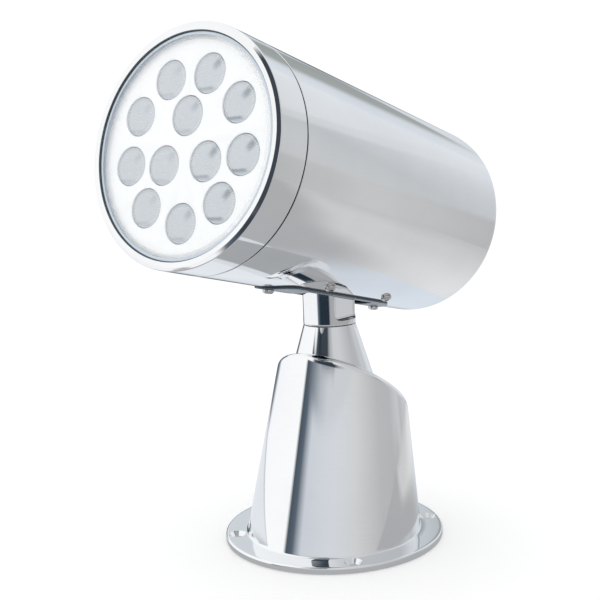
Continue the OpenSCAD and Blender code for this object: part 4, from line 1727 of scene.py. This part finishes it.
@dataclass
class Shell:
    """Tube of the head, the strip round its slot, and its outside screws.

    The slot is drawn from the tilt axle, the strip from a middle behind the axle, and the rings
    are distances behind the head's front where the tube is divided.
    """

    layout: Layout
    head_len: float = 240.5
    front_s: float = 23.0
    front_round: float = 0.3
    back_round: float = 3.0
    inner_round: float = 1.2
    rings: tuple[float, ...] = (60.0, 100.0, 140.0, 180.0, 210.0)
    slot_half: float = 12.2
    slot_front: float = -31.15
    slot_back: float = 38.55
    slot_span: Point = (-44.4, -21.4)
    strip_gap: float = 0.4
    strip_t: float = 0.8
    strip_mid: float = 2.684
    strip_half: float = 61.0
    strip_half_w: float = 15.1
    strip_spare: float = 5.0
    strip_reach: float = 90.0
    end_flat: float = 0.05
    seal_gap: float = 0.02
    foot_mid: float = 6.684
    foot_screw: float = 31.5
    foot_angle: float = 20.5
    end_screw: float = 4.0
    screw_r: float = 3.3
    screw_h: float = 2.2
    screw_side: float = 0.55
    screw_crown: float = 0.72
    screw_rounds: Place = (0.15, 0.5, 0.6)
    screw_seat: float = 0.02
    shank_r: float = 1.5
    shank_depth: float = 0.6
    socket_r: float = 0.46
    socket_floor: float = 0.4
    socket_over: float = 2.0

    def tube(self) -> None:
        """The tube with its closed, rounded back and the slot for the post."""
        outer, wall = self.layout.head_r, self.layout.head_wall
        inner, floor = outer - wall, self.head_len - wall
        outline = softened(
            [
                (inner, self.front_s, 0),
                (outer, self.front_s, self.front_round),
                (outer, self.head_len, self.back_round),
                (0, self.head_len, 0),
                (0, floor, 0),
                (inner, floor, self.inner_round),
            ],
            steps=8,
        )
        tube = Bench.turned("head_tube", outline, sides=288)
        for back in self.rings:
            tube.slice((0, 0, back), (0, 0, 1), False)
        tube.place(self.layout.tube())
        tube.cut(self._slot())
        tube.dress(Body.HEAD, STEEL, Slot.POLISHED_STEEL, ["head_shell"], angle=30)

    def _slot(self) -> Bench:
        """The slot's shape, placed on the head.

        Returns:
            The bench that holds the shape.
        """
        low, high = self.slot_span
        box = Bench.block(
            "slot", (-self.slot_half, self.slot_front, low), (self.slot_half, self.slot_back, high)
        )
        box.place(self.layout.head())
        return box

    def _strip_form(self) -> Bench:
        """A block with the strip's round-ended outline, placed on the head.

        Returns:
            The bench that holds the block.
        """
        half_w, half = self.strip_half_w, self.strip_half
        form = Bench.block("form", (-half_w, 0, -half), (half_w, self.strip_reach, half))
        form.bevel(lambda a, b: abs(a.y - b.y) > EDGE_RUN, half_w - self.end_flat, steps=24)
        form.place(self.layout.tube(self.layout.axle_s + self.strip_mid))
        return form

    def strip(self) -> None:
        """Curved strip with round ends that frames the slot, and its seal."""
        reach = self.strip_half + self.strip_spare
        start = self.layout.axle_s + self.strip_mid - reach
        skin = self.layout.head_r
        low = skin + self.strip_gap
        for name, r0, r1, finish, slot, node in (
            ("slot_strip", low, low + self.strip_t, DARK_STRIP, Slot.BLACK_PLASTIC, "slot_plate"),
            ("slot_seal", skin + self.seal_gap, low, RUBBER, Slot.BLACK_RUBBER, "slot_gasket"),
        ):
            corners = [(r0, 0), (r1, 0), (r1, 2 * reach), (r0, 2 * reach)]
            strip = Bench.turned(name, corners, sides=288)
            strip.place(self.layout.tube(start))
            strip.keep(self._strip_form())
            strip.cut(self._slot())
            strip.dress(Body.HEAD, finish, slot, [node])

    def _screw(self, name: str) -> Bench:
        """A button-headed screw with a hexagon socket, on Z.

        Args:
            name: the piece's name.

        Returns:
            The bench that holds the screw.
        """
        seat_round, side_round, crown_round = self.screw_rounds
        outline = softened(
            [
                (0, -self.shank_depth, 0),
                (self.shank_r, -self.shank_depth, 0),
                (self.shank_r, self.screw_seat, 0),
                (self.screw_r, self.screw_seat, seat_round),
                (self.screw_r, self.screw_side * self.screw_h, side_round),
                (self.screw_crown * self.screw_r, self.screw_h, crown_round),
                (0, self.screw_h, 0),
            ],
            steps=4,
        )
        head = Bench.turned(name, outline, sides=48)
        floor, over = self.socket_floor * self.screw_h, self.screw_h + self.socket_over
        head.cut(Bench.cylinder("socket", self.socket_r * self.screw_r, floor, over, sides=6))
        head.mend()
        return head

    def _screw_set(self, name: str, node: str, frames: Sequence[Matrix]) -> None:
        """Screws that are made once and copied to their places.

        Args:
            name: the piece's name.
            node: the solid that it stands for.
            frames: a frame for each screw.
        """
        first = self._screw(name)
        copies = [first.copy(name + "_copy") for _ in frames[1:]]
        for bench, matrix in zip([first, *copies], frames):
            bench.place(matrix)
        first.join(copies)
        first.dress(Body.HEAD, SCREW_STEEL, Slot.POLISHED_STEEL, [node], angle=35)

    def screws(self) -> None:
        """Screws beside the post and at the strip's ends."""
        layout = self.layout
        feet, mid = layout.axle_s + self.foot_mid, layout.axle_s + self.strip_mid
        sides = [
            layout.on_tube(feet + e * self.foot_screw, b * self.foot_angle, layout.head_r)
            for e in (-1, 1)
            for b in (-1, 1)
        ]
        out = layout.head_r + self.strip_gap + self.strip_t
        along = self.strip_half - self.end_screw
        ends = [layout.on_tube(mid + e * along, 0, out) for e in (-1, 1)]
        self._screw_set("side_screws", "bracket_screws", sides)
        self._screw_set("strip_screws", "slot_plate_screws", ends)

    def build(self) -> None:
        """Builds the shell's visible pieces."""
        self.tube()
        self.strip()
        self.screws()


@dataclass
class InnerWorks:
    """Solids inside the housings, which keep their own meshes and get a finish."""

    finishes: dict[str, Finish] = field(
        default_factory=lambda: {
            "deck_gasket": RUBBER,
            "base_plate": PLAIN_STEEL,
            "base_plate_screws": PLAIN_STEEL,
            "cable_gland": DARK_PLASTIC,
            "chassis_pillars": BRASS,
            "chassis_plate": ALLOY,
            "chassis_screws": PLAIN_STEEL,
            "pan_motor": MOTOR_STEEL,
            "pan_motor_screws": PLAIN_STEEL,
            "control_board": BOARD,
            "board_standoffs": BRASS,
            "antenna": BRASS,
            "neck_washer": ALLOY,
            "neck_nut": PLAIN_STEEL,
            "pan_bush_upper": RESIN,
            "pan_bush_lower": RESIN,
            "pan_spindle": PLAIN_STEEL,
            "pan_gear": BRASS,
            "spindle_nut": PLAIN_STEEL,
            "tilt_bushes": RESIN,
            "tilt_sector": BRASS,
            "sector_pins": PLAIN_STEEL,
            "pan_pinion": BRASS,
            "led_emitters": PHOSPHOR,
            "led_board": ALLOY,
            "heatsink": ALLOY,
            "engine_ring": DARK_PLASTIC,
            "driver_board": BOARD,
            "driver_standoffs": BRASS,
            "tilt_bracket": ALLOY,
            "tilt_motor": MOTOR_STEEL,
            "tilt_motor_screws": PLAIN_STEEL,
            "tilt_axle": PLAIN_STEEL,
            "axle_clips": PLAIN_STEEL,
            "tilt_pinion": BRASS,
        }
    )

    def build(self, nodes: dict[str, bpy.types.Object]) -> None:
        """Gives each inner solid its finish.

        Args:
            nodes: the frame's solids by name.
        """
        for name, finish in self.finishes.items():
            solid = nodes[name]
            for place in solid.material_slots:
                place.material = finish.material()
            LOG.info("%s: finish %s", name, finish.name)


# Studio

# Panels that the metal mirrors: degrees round the part from its front, and the tone there
REAR_LEFT: Stops = (
    (-180, (0.76, 0.80, 0.85)),
    (-172, (0.70, 0.74, 0.78)),
    (-166, (0.38, 0.41, 0.40)),
    (-153, (0.34, 0.37, 0.36)),
    (-150, (0.62, 0.66, 0.70)),
    (-138, (0.66, 0.70, 0.74)),
    (-120, (1.02, 1.03, 1.04)),
)

LOW_PANELS: Stops = (
    (-180, (0.66, 0.69, 0.73)),
    (-150, (0.66, 0.70, 0.74)),
    (-145, (0.20, 0.23, 0.26)),
    (-117, (0.16, 0.19, 0.22)),
    (-107, (1.00, 1.01, 1.03)),
    (-19, (1.02, 1.02, 1.03)),
    (-14, (0.16, 0.19, 0.23)),
    (-4, (0.02, 0.035, 0.05)),
    (34, (0.02, 0.03, 0.045)),
    (40, (0.40, 0.41, 0.43)),
    (60, (0.43, 0.43, 0.43)),
    (120, (0.41, 0.41, 0.415)),
    (138, (0.49, 0.49, 0.49)),
    (145, (0.61, 0.61, 0.615)),
    (149, (0.57, 0.575, 0.58)),
    (153, (0.51, 0.515, 0.525)),
    (162, (0.58, 0.59, 0.605)),
    (180, (0.66, 0.69, 0.73)),
)

HORIZON_PANELS: Stops = (
    (-180, (0.74, 0.77, 0.81)),
    (-156, (0.68, 0.72, 0.76)),
    (-149, (0.18, 0.21, 0.24)),
    (-116, (0.10, 0.13, 0.16)),
    (-104, (1.02, 1.03, 1.05)),
    (-33.5, (1.06, 1.06, 1.06)),
    (-29.5, (0.07, 0.095, 0.12)),
    (-21, (0.11, 0.14, 0.18)),
    (-9, (0.66, 0.69, 0.74)),
    (30, (0.72, 0.74, 0.78)),
    (60, (0.69, 0.695, 0.70)),
    (100, (0.52, 0.525, 0.53)),
    (125, (0.50, 0.51, 0.52)),
    (144, (0.62, 0.63, 0.64)),
    (152, (0.58, 0.595, 0.61)),
    (170, (0.76, 0.79, 0.83)),
    (180, (0.78, 0.81, 0.85)),
)

MIDDLE_PANELS: Stops = (
    *REAR_LEFT,
    (-33.5, (1.06, 1.06, 1.06)),
    (-29.5, (0.06, 0.08, 0.10)),
    (-23, (0.12, 0.145, 0.18)),
    (-13, (0.26, 0.29, 0.33)),
    (0, (0.50, 0.53, 0.57)),
    (14, (0.66, 0.68, 0.71)),
    (66, (0.67, 0.675, 0.68)),
    (112, (0.50, 0.51, 0.52)),
    (126, (0.44, 0.45, 0.46)),
    (138, (0.52, 0.53, 0.54)),
    (147, (0.63, 0.64, 0.655)),
    (157, (0.72, 0.735, 0.75)),
    (180, (0.80, 0.83, 0.87)),
)

HIGH_PANELS: Stops = (
    *REAR_LEFT,
    (-22, (1.05, 1.05, 1.05)),
    (-16, (0.08, 0.10, 0.12)),
    (-8, (0.03, 0.045, 0.06)),
    (22, (0.02, 0.03, 0.04)),
    (32, (0.42, 0.43, 0.45)),
    (46, (0.66, 0.67, 0.68)),
    (66, (0.66, 0.67, 0.68)),
    (112, (0.50, 0.51, 0.52)),
    (126, (0.44, 0.45, 0.46)),
    (138, (0.52, 0.53, 0.54)),
    (147, (0.67, 0.68, 0.695)),
    (157, (0.77, 0.785, 0.80)),
    (180, (0.80, 0.83, 0.87)),
)

UPPER_PANELS: Stops = (
    (-180, (0.78, 0.82, 0.87)),
    (-150, (0.70, 0.74, 0.77)),
    (-125, (1.02, 1.03, 1.04)),
    (-10, (1.04, 1.04, 1.04)),
    (20, (0.84, 0.85, 0.87)),
    (60, (0.62, 0.63, 0.64)),
    (140, (0.60, 0.61, 0.62)),
    (150, (0.68, 0.69, 0.705)),
    (164, (0.78, 0.795, 0.815)),
    (180, (0.84, 0.865, 0.90)),
)


@dataclass(frozen=True)
class Band:
    """A ring of panels that takes over between two heights, in degrees."""

    fade: Point
    panels: Stops


@dataclass(frozen=True)
class Card:
    """An upright dark card between two corners, in metres, that only shows in polished metal."""

    name: str = "flag_bezel"
    low: Place = (0.006, -0.20, 0.155)
    high: Place = (0.096, -0.20, 0.47)
    fade: float = 0.06
    tone: Colour = (0.05, 0.062, 0.078)

    def build(self) -> None:
        """Sets the card up beside the part."""
        Bench.clear()
        bpy.ops.mesh.primitive_plane_add(size=1)
        sheet = bpy.context.active_object
        sheet.name = self.name
        (x0, y0, z0), (x1, _, z1) = self.low, self.high
        sheet.rotation_euler = (math.radians(90), 0, 0)
        sheet.scale = (x1 - x0, z1 - z0, 1)
        sheet.location = ((x0 + x1) / 2, y0, (z0 + z1) / 2)
        bpy.ops.object.transform_apply(location=True, rotation=True, scale=True)
        paint = bpy.data.materials.new(self.name + "_paint")
        book = NodeBook(paint)
        z = book.split(book.object_coords())[2]
        ends = z.above(z0, z0 + self.fade) * (1 - z.above(z1 - self.fade, z1))
        shown = book.node("ShaderNodeLightPath", output="Is Glossy Ray")
        open_air = book.node("ShaderNodeBsdfTransparent")
        inputs = {0: shown * ends, 1: open_air, 2: book.emission(self.tone)}
        book.surface(book.node("ShaderNodeMixShader", {}, inputs))
        sheet.data.materials.append(paint)


@dataclass(frozen=True)
class Table:
    """Round pale table: white to the eye with the part's shadow, and toned where metal mirrors it,
    with a painted shadow of the part in those tones.

    Spans are in metres. away and side are directions across the table as X and Y.
    """

    radius: float = 0.55
    drop: float = 0.0003
    white: Colour = (0.93, 0.93, 0.93)
    glow: float = 0.14
    away: Point = (0.907, 0.42)
    front: Colour = (0.84, 0.87, 0.91)
    under: Colour = (0.66, 0.70, 0.76)
    under_span: Point = (-0.06, 0.03)
    back: Colour = (0.73, 0.785, 0.86)
    back_y: Point = (0.12, 0.26)
    back_x: Point = (0.02, 0.20)
    far: Colour = (0.655, 0.655, 0.66)
    far_back: Colour = (0.80, 0.803, 0.81)
    far_span: Point = (0.105, 0.110)
    edge: Colour = (0.575, 0.58, 0.585)
    edge_span: Point = (0.38, 0.55)
    painted_shadow_tone: Colour = (0.45, 0.455, 0.465)
    side: Point = (0.6, -0.8)
    side_span: Point = (-0.035, 0.02)
    shade_at: Point = (0.11, 0.075)
    shade_span: Point = (0.03, 0.13)

    def _mirrored(self, book: NodeBook) -> Sock:
        """The table's tone in the metal, darkened by a painted shadow on one side and beside the
        base.

        Args:
            book: where the nodes go.

        Returns:
            The tone as a colour.
        """
        x, y, _ = book.split(book.object_coords())
        away = x * self.away[0] + y * self.away[1]
        side = x * self.side[0] + y * self.side[1]
        back = y.above(*self.back_y) * (1 - x.above(*self.back_x))
        tone = book.mix(away.above(*self.under_span), self.front, self.under)
        tone = book.mix(back, tone, self.back)
        tone = book.mix(away.above(*self.far_span), tone, book.mix(back, self.far, self.far_back))
        reach = (x * x + y * y).apply("SQRT")
        tone = book.mix(reach.above(*self.edge_span), tone, self.edge)
        # Painted shadow: the side away from the light and a spot beside the base take the shadow
        # tone
        tone = book.mix(side.above(*self.side_span), tone, self.painted_shadow_tone)
        east, north = x - self.shade_at[0], y - self.shade_at[1]
        near = (east * east + north * north).apply("SQRT")
        return book.mix(near.above(*self.shade_span), self.painted_shadow_tone, tone)

    def build(self) -> None:
        """Sets the table under the part."""
        Bench.clear()
        bpy.ops.mesh.primitive_circle_add(
            vertices=128, radius=self.radius, fill_type="NGON", location=(0, 0, -self.drop)
        )
        table = bpy.context.active_object
        table.name = "floor"
        bpy.ops.object.transform_apply(location=True, rotation=True, scale=True)
        paper = bpy.data.materials.new("pale_floor")
        book = NodeBook(paper)
        white = book.node("ShaderNodeBsdfDiffuse", {}, {"Color": (*self.white, 1.0)})
        glow = book.emission(WHITE, self.glow)
        bright = book.node("ShaderNodeAddShader", {}, {0: white, 1: glow})
        seen = book.node("ShaderNodeLightPath", output="Is Camera Ray")
        inputs = {0: seen, 1: book.emission(self._mirrored(book)), 2: bright}
        book.surface(book.node("ShaderNodeMixShader", {}, inputs))
        table.data.materials.append(paper)


@dataclass(frozen=True)
class Studio:
    """Soft surroundings, the camera, a pale table and a dark card."""

    camera_at: Place = (0.3431, -0.4846, 0.2260)
    heading: float = 36.79
    pitch: float = 7.30
    roll: float = -2.467
    lens: float = 57.74
    sensor: float = 36.0
    nearest: float = 0.01
    light: Colour = (1.05, 1.05, 1.05)
    zenith: Colour = (0.92, 0.93, 0.94)
    zenith_fade: Point = (62.0, 80.0)
    bands: tuple[Band, ...] = (
        Band((-7.0, -3.0), HORIZON_PANELS),
        Band((14.2, 16.2), MIDDLE_PANELS),
        Band((18.0, 19.6), HIGH_PANELS),
        Band((27.0, 31.0), UPPER_PANELS),
    )

    def camera(self) -> None:
        """The camera at the photograph's viewing angle."""
        data = bpy.data.cameras.new("camera")
        data.lens = self.lens
        data.sensor_width = self.sensor
        data.clip_start = self.nearest
        camera = bpy.data.objects.new("camera", data)
        bpy.context.collection.objects.link(camera)
        aim = Euler((math.radians(90 - self.pitch), 0, math.radians(self.heading))).to_matrix()
        aim = aim @ Matrix.Rotation(math.radians(self.roll), 3, "Z")
        camera.matrix_world = Matrix.Translation(self.camera_at) @ aim.to_4x4()
        bpy.context.scene.camera = camera

    @staticmethod
    def _round(book: NodeBook, turn: Sock, panels: Stops) -> Sock:
        """Colour by direction round the part.

        Args:
            book: where the nodes go.
            turn: the direction, from 0 to 1 for a whole turn.
            panels: stops in degrees, from -180 to 180.

        Returns:
            The colour.
        """
        stops = [((angle + 180) / 360, colour) for angle, colour in panels]
        return book.node("ShaderNodeValToRGB", {"stops": stops}, {"Fac": turn})

    def surroundings(self) -> None:
        """A white backdrop that lights the part, and soft panels that only its metal mirrors."""
        world = bpy.data.worlds.new("studio")
        bpy.context.scene.world = world
        book = NodeBook(world)
        x, y, z = book.split(book.node("ShaderNodeTexCoord", output="Generated"))
        turn = x.angle_from(-y) * (1 / FULL_TURN) + 0.5
        rise = z.apply("ARCSINE") * (180 / math.pi)
        colour = self._round(book, turn, LOW_PANELS)
        for band in self.bands:
            panels = self._round(book, turn, band.panels)
            colour = book.mix(rise.above(*band.fade), colour, panels)
        colour = book.mix(rise.above(*self.zenith_fade), colour, self.zenith)
        shown = book.node("ShaderNodeLightPath", output="Is Glossy Ray")
        inputs = {"Color": book.mix(shown, self.light, colour), "Strength": 1.0}
        book.surface(book.node("ShaderNodeBackground", {}, inputs), "ShaderNodeOutputWorld")

    def build(self) -> None:
        """Builds the studio."""
        bpy.context.scene.view_settings.view_transform = "Standard"
        self.camera()
        self.surroundings()
        Table().build()
        Card().build()


def main() -> None:
    """Builds the searchlight around its solids and sets it in the studio."""
    logging.basicConfig(level=logging.INFO, format="%(message)s")
    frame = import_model()
    Studio().build()
    InnerWorks().build(frame["nodes"])
    for assembly in (Base(LAYOUT), Post(LAYOUT), Shell(LAYOUT), Lamp(LAYOUT)):
        assembly.build()


if __name__ == "__main__":
    main()
